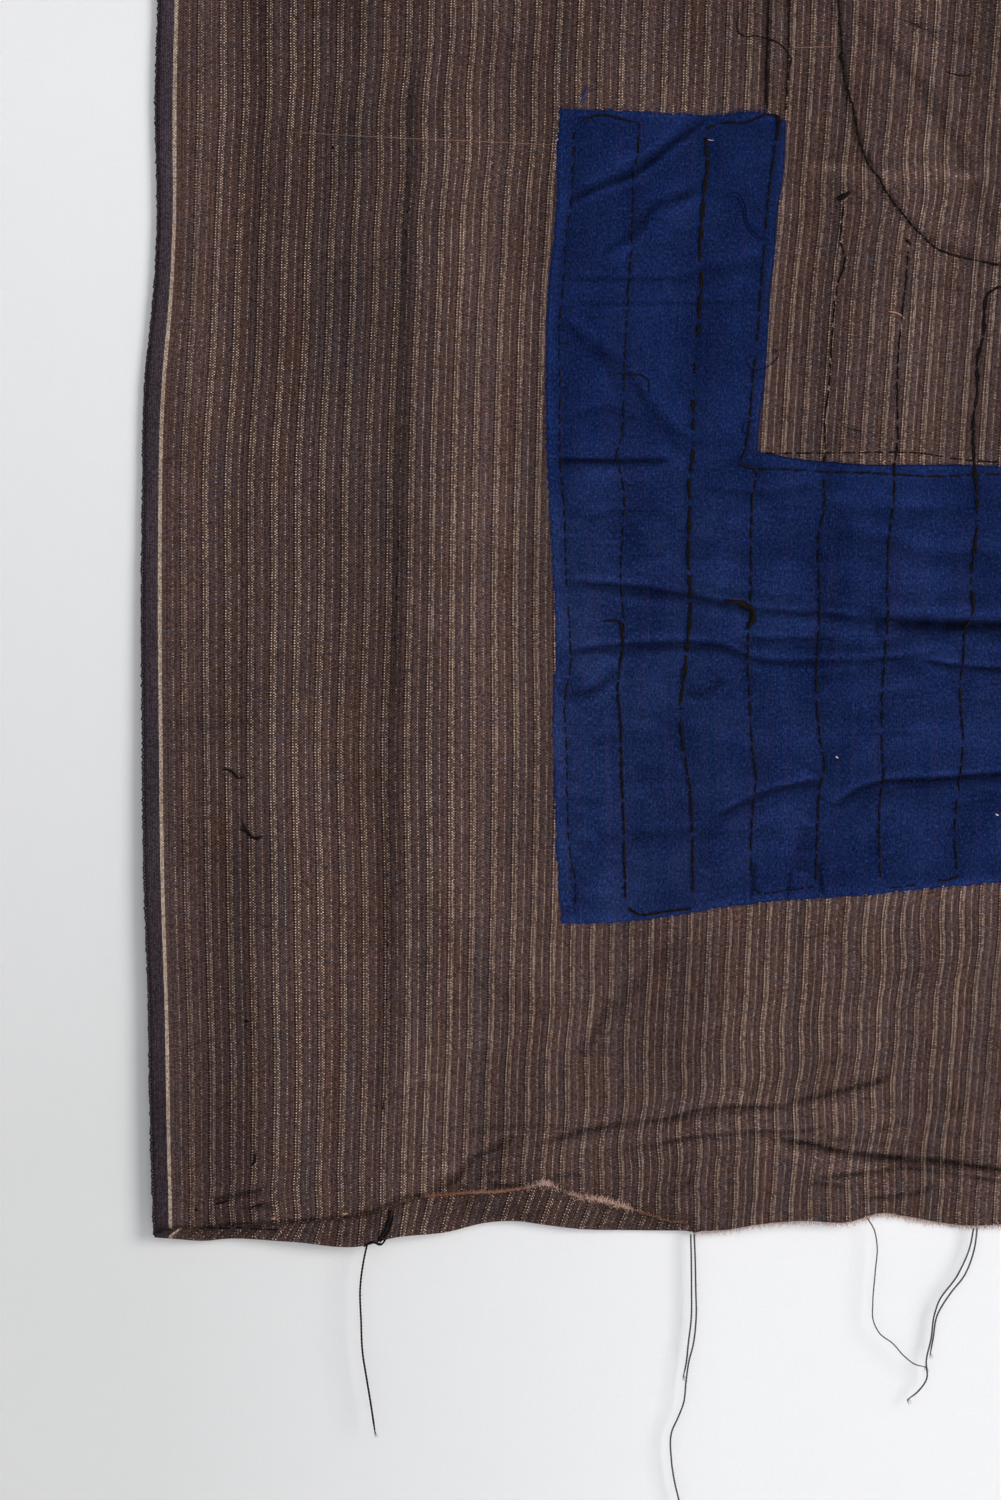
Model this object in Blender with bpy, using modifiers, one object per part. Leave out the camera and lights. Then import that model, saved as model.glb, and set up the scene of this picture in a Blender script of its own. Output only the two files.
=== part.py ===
"""A boro cloth: the lower part of a striped cotton length, hanging from its top edge.

An L-shaped indigo patch is sewn on its front, its bottom hem is turned up to the front,
and loose ends of the sewing thread hang below it.

All sizes here are in millimetres. "Across" runs right from a plumb line beside the left
selvedge, and "down" runs down from the top edge. "Relief" is how far the cloth stands
towards the viewer. The front faces -Y, and the origin is the middle of the top edge.
"""

import math

import bmesh
import bpy
import numpy as np

MM = 0.001
CLOTH_THICKNESS = 1.0
PATCH_THICKNESS = 1.0
PIECE_GAP = 0.3
TURN_RADIUS = 0.8  # of the hem's fold, at mid thickness
PLAIN_EDGE = 3.0  # the strip above the raw edge where nothing is turned up
TOP_STIFF_DEPTH = 130.0  # the cloth hangs flat near the edge that holds it

# The selvedges, as (down, across). The stitching has drawn the cloth in towards the bottom.
LEFT_SELVEDGE = [
    (0, 3.3), (187, 2.3), (217, 1.7), (268, 2.0), (287, 0.3), (312, -2.3), (353, -3.0),
    (393, -3.2), (428, -2.8), (485, -2.5), (506, -1.5), (520, -0.7), (552, -0.2), (599, 0.9),
]
RIGHT_SELVEDGE = [
    (0, 338), (60, 337.4), (120, 335.2), (187, 332), (237, 327), (287, 322), (337, 318.6),
    (387, 316), (437, 313.2), (487, 310), (540, 304.5), (570, 302), (600, 300.6),
]

# The outline of the indigo patch: sides as (down, across), the rest as (across, down).
PATCH_LEFT = [
    (0, 137.5), (223, 136.7), (235, 135.8), (253, 135.7), (277, 133.3), (293, 132.3),
    (314, 131.9), (330, 132.0), (353, 133.0), (385, 134.6), (404, 135.3), (423, 134.2),
    (444, 134.7), (476, 135.8), (495, 137.0), (600, 136.0),
]
ARM_RIGHT = [
    (0, 214), (227, 212.0), (246, 211.0), (261, 208.7), (271, 208.3), (283, 206.7),
    (298, 206.0), (314, 204.8), (328, 203.0), (337, 202.5), (485, 200.5), (600, 199.0),
]
PATCH_RIGHT = [(0, 318), (227, 309), (342, 302.5), (400, 300.5), (481, 297.0), (600, 287.5)]
PATCH_TOP = [(0, 223), (137, 223.3), (164, 224.0), (186, 224.7), (205, 224.3), (212, 226.7), (338, 227)]
INNER_EDGE = [
    (0, 333), (137, 334), (202, 337.0), (214, 339.3), (228, 340.8), (239, 341.7),
    (254, 341.8), (273, 341.5), (284, 342.0), (338, 342.5),
]
PATCH_BOTTOM = [
    (0, 494), (137, 494.7), (159, 494.0), (176, 491.7), (191, 489.0), (208, 487.0),
    (223, 486.0), (239, 484.9), (255, 483.3), (269, 482.0), (284, 480.9), (338, 479.5),
]

# The lowest line of the cloth, and how far the hem stands up in front of it, by across.
BOTTOM_LINE = [
    (0, 598.9), (8, 599.7), (18, 600.6), (25, 600.0), (47, 600.6), (73, 601.5), (79, 599.7),
    (100, 597.3), (111, 594.7), (121, 594.0), (132, 595.3), (143, 596.7), (159, 597.3),
    (181, 597.2), (191, 596.7), (202, 594.8), (218, 593.5), (233, 594.0), (243, 591.3),
    (251, 592.3), (260, 594.0), (270, 595.3), (284, 595.0), (292, 594.4), (302, 596.0),
]
HEM_HEIGHT = [
    (0, 3.2), (8, 3.7), (18, 4.2), (25, 4.4), (47, 6.8), (64, 9.8), (79, 11.2), (90, 13.0),
    (103, 12.2), (111, 10.4), (121, 11.0), (128, 13.0), (138, 10.7), (149, 9.3), (159, 6.7),
    (170, 4.0), (178, 1.6), (184, 0.0), (302, 0.0),
]

# Long soft ripples from top to bottom: wavelength across, height, phase, lean per mm down.
RIPPLES = [(126, 1.9, 0.6, 0.10), (74, 1.0, 2.4, -0.12), (47, 0.5, 4.0, 0.05)]

# The main folds, each along a bowed line. A positive height is a ridge, a negative one a furrow.
FOLD_FIELDS = ("start_across", "start_down", "end_across", "end_down", "bow", "half_width", "height")
MAIN_FOLDS = [
    (88, 187, 79, 585, -3, 5.0, -0.9),  # the row sewn from behind, left of the patch
    (206, 187, 206, 224, 0, 4.0, -0.8),
    (229, 187, 284, 276, 9, 5.0, -1.0),  # the row that curves away to the right
    (187, 226, 150, 248, 2, 5.0, -1.0),
    (186, 250, 148, 274, 2, 6.0, 0.9),
    (133, 341, 175, 340, 0, 5.0, -1.1),
    (140, 383, 246, 394, 3, 5.0, -1.3),
    (244, 395, 300, 396, 0, 6.0, -2.4),
    (136, 374, 300, 380, 0, 9.0, 1.1),
    (136, 405, 255, 406, 4, 5.0, -1.0),
    (180, 463, 226, 446, -1, 5.0, -1.2),
    (224, 457, 300, 444, 3, 6.0, -1.9),
    (186, 435, 290, 430, 2, 9.0, 1.2),
    (127, 569, 215, 556, 3, 4.5, -1.3),
    (206, 566, 300, 579, 2, 5.0, -2.1),
    (214, 556, 290, 563, 0, 6.0, 1.3),
    (92, 584, 124, 566, -1, 5.0, -1.0),
    (212, 554, 250, 545, 0, 4.5, -1.1),
]

# The rows of running stitch that hold the patch down, by across.
STITCH_ROWS = [134, 157.5, 179.5, 200, 223.5, 244, 270.5, 299]
PATCH_PUFF = 0.6  # how far the patch lifts between two rows

CELLS_ACROSS = (9, 10, 13, 2)  # selvedge, patch left, arm right, patch right, selvedge
CELLS_DOWN = (10, 9, 14, 11, 2)  # top, patch top, inner edge, patch bottom, hem top, turn
TURN_CELLS = 5
RISE_CELLS = 2

# Loose thread ends, as (across, down, towards the viewer) from the cloth's lowest line.
THREAD_DIAMETERS = {
    "thread_tail_left": 0.7,
    "thread_tail_middle_right_ply": 0.6,
    "thread_tail_middle_left_ply": 0.6,
    "thread_tail_thin": 0.45,
    "thread_tail_right_long_ply": 0.6,
    "thread_tail_right_short_ply": 0.6,
}
THREAD_ROUTES = {
    "thread_tail_left": [
        (72.4, 601.4, 0.0), (71.3, 606.6, 0.3), (70.2, 615.6, 0.9), (70.5, 626.4, 1.2),
        (71.0, 637.0, 1.1), (72.3, 645.4, 0.8), (73.7, 654.0, 0.6), (75.2, 664.0, 0.6),
    ],
    "thread_tail_middle_right_ply": [
        (181.4, 598.1, 0.0), (181.7, 605.4, 0.2), (181.9, 615.6, 0.4), (182.0, 626.4, 0.5),
        (181.0, 635.0, 0.7), (179.6, 640.4, 0.8), (178.6, 647.6, 0.8), (177.9, 654.0, 0.6),
        (175.8, 659.6, 0.4), (174.0, 663.6, 0.3), (173.8, 673.4, 0.2), (174.7, 679.8, 0.0),
        (176.3, 686.8, -0.2), (178.0, 695.0, -0.2),
    ],
    "thread_tail_middle_left_ply": [
        (180.2, 598.1, 0.0), (180.4, 605.4, -0.1), (180.5, 615.6, -0.3), (180.4, 626.4, -0.5),
        (179.4, 635.0, -0.6), (178.7, 641.4, -0.6), (177.7, 645.8, -0.5),
    ],
    "thread_tail_thin": [
        (239.0, 592.6, 0.2), (241.2, 596.2, 0.6), (242.2, 601.0, 0.9), (241.6, 610.8, 1.0),
        (240.8, 621.0, 1.1), (240.9, 626.4, 1.3), (243.0, 630.8, 1.5), (247.4, 634.2, 1.7),
        (251.2, 638.4, 1.8), (255.0, 641.2, 1.8), (258.6, 642.0, 1.8),
    ],
    "thread_tail_right_long_ply": [
        (274.6, 596.2, 0.2), (273.4, 602.2, 0.4), (269.2, 611.8, 0.5), (262.8, 621.0, 0.5),
        (261.4, 625.4, 0.5), (260.4, 633.0, 0.5), (258.8, 640.4, 0.5), (258.9, 646.4, 0.5),
        (256.2, 650.4, 0.4), (252.4, 653.4, 0.4),
    ],
    "thread_tail_right_short_ply": [
        (275.8, 596.2, 0.2), (275.0, 602.6, -0.2), (271.6, 612.0, -0.4), (266.8, 618.2, -0.5),
        (262.4, 625.8, -0.6), (261.2, 633.0, -0.7), (260.2, 638.6, -0.8),
    ],
}


def smooth_step(value):
    value = np.clip(value, 0.0, 1.0)
    return value * value * (3 - 2 * value)


def read_table(table, at):
    """A smooth curve through a table of pairs, held level beyond its ends."""
    keys = np.array([row[0] for row in table], float)
    values = np.array([row[1] for row in table], float)
    slopes = np.gradient(values, keys)
    at = np.clip(at, keys[0], keys[-1])
    index = np.clip(np.searchsorted(keys, at) - 1, 0, len(keys) - 2)
    step = keys[index + 1] - keys[index]
    t = (at - keys[index]) / step
    return (
        values[index] * (1 + 2 * t) * (1 - t) ** 2
        + slopes[index] * step * t * (1 - t) ** 2
        + values[index + 1] * t * t * (3 - 2 * t)
        + slopes[index + 1] * step * t * t * (t - 1)
    )


MIDDLE_ACROSS = (LEFT_SELVEDGE[0][1] + RIGHT_SELVEDGE[0][1]) / 2


def to_world(across, down, relief):
    return ((across - MIDDLE_ACROSS) * MM, -relief * MM, -down * MM)


def fold_relief(fold, across, down):
    row = dict(zip(FOLD_FIELDS, fold))
    run_across = row["end_across"] - row["start_across"]
    run_down = row["end_down"] - row["start_down"]
    length = math.hypot(run_across, run_down)
    off_across = across - row["start_across"]
    off_down = down - row["start_down"]
    along = (off_across * run_across + off_down * run_down) / length**2
    beside = (off_across * run_down - off_down * run_across) / length
    beside = beside - row["bow"] * 4 * along * (1 - along)
    taper = smooth_step(along / 0.2) * smooth_step((1 - along) / 0.2)
    return row["height"] * taper * math.exp(-((beside / row["half_width"]) ** 2))


def cloth_relief(across, down):
    """How far the striped cloth's mid surface stands out from the plane that it hangs in."""
    freedom = smooth_step(down / TOP_STIFF_DEPTH) * (0.75 + 0.25 * down / 600)
    relief = 0.0
    for wavelength, height, phase, lean in RIPPLES:
        relief += height * math.sin(2 * math.pi * (across + lean * down) / wavelength + phase)
    relief *= freedom
    for fold in MAIN_FOLDS:
        relief += fold_relief(fold, across, down)
    return float(relief)


def puff_height(across):
    """The patch lies down at each row of stitches and lifts a little between them."""
    for left, right in zip(STITCH_ROWS, STITCH_ROWS[1:]):
        if left <= across <= right:
            return PATCH_PUFF * math.sin(math.pi * (across - left) / (right - left)) ** 2
    return 0.0


def hem_share(across):
    """1 where the hem is turned up, and 0 where the raw edge hangs free."""
    return float(smooth_step(read_table(HEM_HEIGHT, across) / 1.6))


def hem_top(across):
    return read_table(BOTTOM_LINE, across) - max(PLAIN_EDGE, read_table(HEM_HEIGHT, across))


def turn_line(across):
    turned = TURN_RADIUS + CLOTH_THICKNESS / 2
    plain = 2.0
    return read_table(BOTTOM_LINE, across) - plain + (plain - turned) * hem_share(across)


def guide(table):
    return lambda at: read_table(table, at)


ACROSS_GUIDES = [guide(t) for t in (LEFT_SELVEDGE, PATCH_LEFT, ARM_RIGHT, PATCH_RIGHT, RIGHT_SELVEDGE)]
DOWN_GUIDES = [lambda across: 0.0] + [guide(t) for t in (PATCH_TOP, INNER_EDGE, PATCH_BOTTOM)]
DOWN_GUIDES += [hem_top, turn_line]


def line_at(guides, cells, number, at):
    """Where grid line `number` lies: evenly spaced between the two guides on its sides."""
    for side, count in enumerate(cells):
        if number <= count:
            low = guides[side](at)
            return low + (guides[side + 1](at) - low) * number / count
        number -= count
    return guides[-1](at)


def grid_place(column, row):
    """Where a column and a row of the cloth's grid cross, as (across, down)."""
    across, down = MIDDLE_ACROSS, 300.0
    for _ in range(5):
        across = line_at(ACROSS_GUIDES, CELLS_ACROSS, column, down)
        down = line_at(DOWN_GUIDES, CELLS_DOWN, row, across)
    return float(across), float(down)


def hem_place(column, row_past_turn):
    """A point of the turned hem, followed along the cloth past the line where the turn begins."""
    across, start = grid_place(column, sum(CELLS_DOWN))
    share = hem_share(across)
    bend_start = 2.0 * (1 - share)
    turn_length = 1.2 + (math.pi * TURN_RADIUS - 1.2) * share
    rise_length = max(0.8, (start - hem_top(across)) * share)
    if row_past_turn <= TURN_CELLS:
        travelled = turn_length * row_past_turn / TURN_CELLS
    else:
        travelled = turn_length + rise_length * (row_past_turn - TURN_CELLS) / RISE_CELLS
    angle = min(max(0.0, travelled - bend_start) / TURN_RADIUS, math.pi)
    risen = max(0.0, travelled - bend_start - math.pi * TURN_RADIUS)
    down = start + min(travelled, bend_start) + TURN_RADIUS * math.sin(angle) - risen
    return across, down, TURN_RADIUS * (1 - math.cos(angle))


def cloth_point(column, row):
    past_turn = row - sum(CELLS_DOWN)
    if past_turn > 0:
        across, down, forward = hem_place(column, past_turn)
    else:
        across, down = grid_place(column, row)
        forward = 0.0
    return to_world(across, down, cloth_relief(across, down) + forward)


def patch_point(column, row):
    across, down = grid_place(column, row)
    layer = (CLOTH_THICKNESS + PATCH_THICKNESS) / 2 + PIECE_GAP
    return to_world(across, down, cloth_relief(across, down) + layer + puff_height(across))


def make_material(name, colour, roughness):
    material = bpy.data.materials.new(name)
    material.use_nodes = True
    shader = material.node_tree.nodes["Principled BSDF"]
    shader.inputs["Base Color"].default_value = (*colour, 1.0)
    shader.inputs["Roughness"].default_value = roughness
    shader.inputs["Metallic"].default_value = 0.0
    return material


def finish_object(obj, collection, material):
    obj.data.materials.append(material)
    collection.objects.link(obj)
    return obj


def make_sheet(name, columns, rows, point, thickness, keep=None):
    """A grid laid on the folds, thickened to a sheet. `keep` drops the cells outside a shape."""
    mesh = bmesh.new()
    bmesh.ops.create_grid(mesh, x_segments=columns, y_segments=rows, size=0.5)
    corners = {}
    for vertex in mesh.verts:
        corners[vertex] = (round((vertex.co.x + 0.5) * columns), round((0.5 - vertex.co.y) * rows))
    if keep:
        outside = []
        for face in mesh.faces:
            column = min(corners[vertex][0] for vertex in face.verts)
            row = min(corners[vertex][1] for vertex in face.verts)
            if not keep(column, row):
                outside.append(face)
        bmesh.ops.delete(mesh, geom=outside, context="FACES")
    for vertex in mesh.verts:
        vertex.co = point(*corners[vertex])
    bmesh.ops.recalc_face_normals(mesh, faces=mesh.faces)
    data = bpy.data.meshes.new(name)
    mesh.to_mesh(data)
    mesh.free()
    data.shade_smooth()
    obj = bpy.data.objects.new(name, data)
    solidify = obj.modifiers.new("thickness", "SOLIDIFY")
    solidify.thickness = thickness * MM
    solidify.offset = 0.0
    return obj


def make_striped_cloth(collection):
    columns = sum(CELLS_ACROSS)
    rows = sum(CELLS_DOWN) + TURN_CELLS + RISE_CELLS
    obj = make_sheet("striped_cloth", columns, rows, cloth_point, CLOTH_THICKNESS)
    finish_object(obj, collection, make_material("striped_cotton", (0.078, 0.052, 0.045), 0.92))


def make_indigo_patch(collection):
    first_column = CELLS_ACROSS[0]
    first_row = CELLS_DOWN[0]
    arm_columns = CELLS_ACROSS[1]
    arm_rows = CELLS_DOWN[1]

    def point(column, row):
        return patch_point(first_column + column, first_row + row)

    def in_the_l(column, row):
        return column < arm_columns or row >= arm_rows

    columns = arm_columns + CELLS_ACROSS[2]
    rows = arm_rows + CELLS_DOWN[2]
    obj = make_sheet("indigo_patch", columns, rows, point, PATCH_THICKNESS, in_the_l)
    finish_object(obj, collection, make_material("indigo_cotton", (0.010, 0.018, 0.066), 0.9))


def smooth_route(points, spacing):
    """Evenly spaced points on a smooth curve through the route's own points."""
    points = np.array(points, float)
    travelled = np.concatenate([[0], np.cumsum(np.linalg.norm(np.diff(points, axis=0), axis=1))])
    count = max(8, round(travelled[-1] / spacing)) + 1
    at = np.linspace(0, travelled[-1], count)
    lanes = [read_table(list(zip(travelled, points[:, lane])), at) for lane in range(3)]
    return np.stack(lanes, axis=1)


def make_thread_tail(name, collection, material):
    """A loose end of thread that hangs from the cloth's lower edge, as a round tube."""
    diameter = THREAD_DIAMETERS[name]
    route = THREAD_ROUTES[name]
    hem_relief = cloth_relief(route[0][0], route[0][1])
    if hem_share(route[0][0]) > 0.5:
        hem_relief += TURN_RADIUS
    curve = bpy.data.curves.new(name, "CURVE")
    curve.dimensions = "3D"
    curve.bevel_depth = diameter / 2 * MM
    curve.bevel_resolution = 2
    curve.use_fill_caps = True
    places = smooth_route(route, 3 * diameter)
    spline = curve.splines.new("POLY")
    spline.points.add(len(places) - 1)
    for point, (across, down, forward) in zip(spline.points, places):
        point.co = (*to_world(across, down, hem_relief + forward), 1.0)
    return finish_object(bpy.data.objects.new(name, curve), collection, material)


def main():
    for obj in list(bpy.data.objects):
        bpy.data.objects.remove(obj, do_unlink=True)
    collection = bpy.data.collections.new("boro_patched_cloth")
    bpy.context.scene.collection.children.link(collection)
    make_striped_cloth(collection)
    make_indigo_patch(collection)
    black = make_material("black_thread", (0.012, 0.010, 0.010), 0.85)
    grey = make_material("grey_thread", (0.075, 0.072, 0.072), 0.85)
    for name in THREAD_ROUTES:
        is_black = name == "thread_tail_left"
        make_thread_tail(name, collection, black if is_black else grey)


main()
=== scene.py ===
import math

import bpy
import numpy as np
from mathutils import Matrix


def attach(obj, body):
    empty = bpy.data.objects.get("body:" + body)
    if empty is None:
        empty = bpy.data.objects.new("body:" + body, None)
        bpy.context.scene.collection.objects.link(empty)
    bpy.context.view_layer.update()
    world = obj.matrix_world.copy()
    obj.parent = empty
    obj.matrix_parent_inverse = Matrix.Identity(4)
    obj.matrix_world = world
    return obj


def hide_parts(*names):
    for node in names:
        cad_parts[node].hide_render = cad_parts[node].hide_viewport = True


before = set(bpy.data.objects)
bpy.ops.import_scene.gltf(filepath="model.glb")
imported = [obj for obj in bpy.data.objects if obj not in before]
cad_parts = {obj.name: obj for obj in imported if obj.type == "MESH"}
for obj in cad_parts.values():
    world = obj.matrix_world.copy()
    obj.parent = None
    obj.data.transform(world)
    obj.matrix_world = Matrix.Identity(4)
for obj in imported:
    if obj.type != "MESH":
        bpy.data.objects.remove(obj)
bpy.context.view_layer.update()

# Looks for a hanging boro cloth. The tables are in millimetres: "across" runs right from a
# plumb line beside the left selvedge, "down" runs down from the top edge, and "relief" is how
# far a surface stands towards the viewer. Times mm, they are Blender's metres.
mm = 0.001

# The wall behind: how far back it is at the cloth's top, and how much further for each mm down.
wallBack = {"near": 1.7, "lean": 0.0048}

cloth = {
    "width": 345.0,       # flat, selvedge to selvedge
    "length": 612.0,      # flat, top edge to raw edge
    "thickness": 0.5,
    "selvedge": 5.6,      # width of the charcoal band
    "firstStripe": 13.7,  # from the selvedge to the first double stripe
    "repeat": 7.5,        # stripe to stripe
    "repeatEnds": 14,     # warp ends in a repeat
    "pick": 0.455,        # weft spacing
    "turnRadius": 0.8,
    "plainEdge": 3.0,
    "topStiffDepth": 130.0,
    "cadThickness": 1.0,
}

# Selvedges as (down, across).
leftSelvedge = [
    (0, 3.9), (187, 3.1), (217, 2.1), (268, 2.5), (287, 1.3), (312, -1.3), (353, -2.2),
    (393, -2.5), (428, -2.2), (485, -1.4), (506, -0.6), (520, -0.1), (552, 0.4), (599, 1.8),
]
rightSelvedge = [
    (0, 338), (60, 337.4), (120, 335.2), (187, 332), (237, 327), (287, 322), (337, 318.6),
    (387, 316), (437, 313.2), (487, 310), (540, 304.5), (570, 302), (600, 300.6),
]

# Where some warp ends hang: each has its flat place, then its across at each height.
warpHeights = (0, 189, 237, 287, 337, 387, 437, 487, 540, 580, 600)
warpRuns = {
    13.7: (16.9, 15.9, 15.3, 13.5, 10.4, 10.1, 10.5, 11.1, 12.5, 12.9, 13.2),
    81.2: (86.3, 85.4, 83.0, 81.1, 79.0, 78.4, 77.0, 77.9, 77.7, 76.5, 76.2),
    118.7: (122.9, 121.2, 119.1, 116.0, 114.5, 113.6, 113.8, 113.3, 112.0, 110.3, 110.0),
    223.7: (224.3, 220.3, 217.8, 213.4, 210.1, 208.4, 207.1, 205.4, 202.7, 200.7, 200.0),
    283.7: (280.1, 275.1, 271.2, 266.6, 262.8, 261.1, 259.6, 257.3, 253.8, 250.8, 249.6),
}

# Outline of the indigo patch: sides as (down, across), the rest as (across, down).
patchLeft = [
    (0, 137.5), (223, 136.7), (235, 135.8), (253, 135.7), (277, 133.3), (293, 132.3),
    (314, 131.9), (330, 132.0), (353, 133.0), (385, 134.6), (404, 135.3), (423, 134.2),
    (444, 134.7), (476, 135.8), (495, 137.0), (600, 136.0),
]
armRight = [
    (0, 214), (227, 212.0), (246, 211.0), (261, 208.7), (271, 208.3), (283, 206.7),
    (298, 206.0), (314, 204.8), (328, 203.0), (337, 202.5), (485, 200.5), (600, 199.0),
]
patchRight = [(0, 318), (227, 309), (342, 302.5), (400, 300.5), (481, 297.0), (600, 287.5)]
patchTop = [(0, 223), (137, 223.3), (164, 224.0), (186, 224.7), (205, 224.3), (212, 226.7), (338, 227)]
innerEdge = [
    (0, 333), (137, 334), (202, 337.0), (214, 339.3), (228, 340.8), (239, 341.7),
    (254, 341.8), (273, 341.5), (284, 342.0), (338, 342.5),
]
patchBottom = [
    (0, 494), (137, 494.7), (159, 494.0), (176, 491.7), (191, 489.0), (208, 487.0),
    (223, 486.0), (239, 484.9), (255, 483.3), (269, 482.0), (284, 480.9), (338, 479.5),
]

# The lowest line of the cloth, and how far the hem stands up in front of it, by across.
bottomLine = [
    (0, 598.9), (8, 599.7), (18, 600.6), (25, 600.0), (47, 600.6), (73, 601.5), (79, 599.7),
    (100, 597.3), (111, 594.7), (121, 594.0), (132, 595.3), (143, 596.7), (159, 597.3),
    (181, 597.2), (191, 596.7), (202, 594.8), (218, 593.5), (233, 594.0), (243, 591.3),
    (251, 592.3), (260, 594.0), (270, 595.3), (284, 595.0), (292, 594.4), (302, 596.0),
]
hemHeight = [
    (0, 3.2), (8, 3.7), (18, 4.2), (25, 4.4), (47, 6.8), (64, 9.8), (79, 11.2), (90, 13.0),
    (103, 12.2), (111, 10.4), (121, 11.0), (128, 13.0), (138, 10.7), (149, 9.3), (159, 6.7),
    (170, 4.0), (178, 1.6), (184, 0.0), (302, 0.0),
]

# How far the turned-up hem's stripes lean, by across.
hemLean = [(0, 1.5), (12, 1.3), (40, 0.8), (60, 0.2), (100, 0.3), (184, 0.45), (302, 0.3)]

# Long soft ripples: wavelength across, height, phase, lean per mm down.
ripples = [(126, 1.9, 0.6, 0.10), (74, 1.0, 2.4, -0.12), (47, 0.5, 4.0, 0.05)]

# Main folds: start across, start down, end across, end down, bow, half width, height.
mainFolds = [
    (88, 187, 79, 585, -3, 5.0, -0.9),
    (206, 187, 206, 224, 0, 4.0, -0.8),
    (229, 187, 284, 276, 9, 5.0, -1.0),
    (187, 226, 150, 248, 2, 5.0, -1.0),
    (186, 250, 148, 274, 2, 6.0, 0.9),
    (133, 341, 175, 340, 0, 5.0, -1.1),
    (140, 383, 246, 394, 3, 5.0, -1.3),
    (244, 395, 300, 396, 0, 6.0, -2.4),
    (136, 374, 300, 380, 0, 9.0, 1.1),
    (136, 405, 255, 406, 4, 5.0, -1.0),
    (180, 463, 226, 446, -1, 5.0, -1.2),
    (224, 457, 300, 444, 3, 6.0, -1.9),
    (186, 435, 290, 430, 2, 9.0, 1.2),
    (127, 569, 215, 556, 3, 4.5, -1.3),
    (206, 566, 300, 579, 2, 5.0, -2.1),
    (214, 556, 290, 563, 0, 6.0, 1.3),
    (92, 584, 124, 566, -1, 5.0, -1.0),
    (212, 554, 250, 545, 0, 4.5, -1.1),
]

# Creases. Each has its half width, its depth, how much of it is a tuck (the side to the left of
# the route stands up and the right side drops) and how dark its line is, then its route. The dark is painted
# shade along the crease, save the two shallow stains by the hem's left end; a negative value paints a paler,
# worn ridge.
clothCreases = [
    (1.1, 0.5, 0.4, 0.7, [(127, 569), (143, 564), (159, 561.7), (172, 560.3), (186, 556),
                          (198, 555.3), (215, 556)]),
    (0.9, 0.3, 0.4, 0.35, [(103, 565), (112, 562.7), (124, 561.7), (138, 562), (145, 562)]),
    (1.0, 0.5, 0.4, 0.75, [(208, 556.6), (214, 553.6), (222, 552.3), (231, 550), (241, 547.7),
                           (247, 545.7)]),
    (0.9, 0.5, 0.4, 0.6, [(156, 570.3), (167, 569), (179, 566.3), (189, 565), (202, 563.7),
                          (219, 563.3), (226, 561.3)]),
    (1.4, 1.1, 0.5, 1.0, [(206, 565.7), (219, 567.7), (228, 570), (241, 571.7), (260, 573.7),
                          (284, 576.7), (299, 578)]),
    (1.9, 0.9, 0.3, 1.0, [(236, 571.6), (250, 573.2), (262, 574), (275, 575.6)]),
    (1.0, 0.6, 0.3, 0.7, [(218, 579.7), (228, 578.7), (241, 577.3), (251, 576.3), (263, 577.7),
                          (284, 580.7), (298, 582.3)]),
    (0.9, 0.4, 0.3, 0.6, [(218.7, 581.3), (223, 581), (235, 583.3)]),
    (0.9, 0.5, 0.3, 0.6, [(235.7, 586), (247, 585.7), (257, 584.3), (262, 581.3)]),
    (1.6, 0.4, 0.2, 0.15, [(155, 520), (150.7, 526), (146, 535), (142, 540)]),
    (1.0, 0.3, 0.3, 0.4, [(146, 536.3), (162, 536.3)]),
    (0.9, 0.3, 0.3, 0.5, [(142, 535), (148, 539.6)]),
    (2.0, 0.6, -0.3, 0.12, [(178.4, 500.3), (169.3, 505.7), (160.4, 516.5), (153.3, 523.7),
                            (146, 534.5), (144, 543.5)]),
    (1.0, 0.5, 0.3, 0.8, [(122, 566), (114, 570), (108, 573), (103, 579), (93, 585)]),
    (0.9, 0.4, 0.3, 0.5, [(120, 576), (109, 580), (103, 584)]),
    (0.9, 0.4, 0.3, 0.6, [(112, 580.7), (122, 582.3)]),
    (0.9, 0.4, 0.3, 0.5, [(128, 581), (135, 579), (145, 578)]),
    (0.9, 0.4, 0.3, 0.5, [(182, 580), (179, 582), (174, 586)]),
    (1.4, 0.4, 0.2, 0.2, [(238, 565.7), (249, 561), (254, 559)]),
    (1.3, 0.5, 0.0, 0.35, [(229.3, 150), (229.3, 187), (230.3, 199), (231.3, 212), (236, 233),
                           (245, 251), (257, 265), (276, 273), (293, 277)]),
    (1.2, 0.9, 0.2, 0.95, [(206.5, 120), (206.3, 160), (206.3, 193), (205.7, 216), (205.7, 224)]),
    (0.9, 0.5, 0.2, 0.5, [(212.7, 160), (213, 197), (212.3, 223)]),
    (1.1, 0.4, 0.0, 0.30, [(88, 150), (88, 187), (86, 246), (84.3, 314), (81.7, 396), (79.5, 449),
                           (79, 520), (77.3, 573), (79.5, 592)]),
    (1.0, 0.3, 0.1, 0.5, [(252, 194), (258, 196), (263, 198.3), (275, 200)]),
    (1.6, 0.1, 0.0, 0.7, [(20, 587), (25, 586), (31, 585), (39, 583)]),
    (1.2, 0.1, 0.0, 0.6, [(30, 590.4), (36, 589), (42, 588.4)]),
    (0.9, 0.1, 0.0, 0.35, [(34, 408.4), (52, 408), (72, 408.4)]),
    (0.9, 0.1, 0.0, 0.35, [(4, 428.6), (20, 428), (37, 428.4)]),
    (2.0, -0.6, 0.3, -0.45, [(216, 242), (231, 243), (245, 245), (258, 243.4), (270, 244.6), (283, 242.6)]),
]
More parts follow.
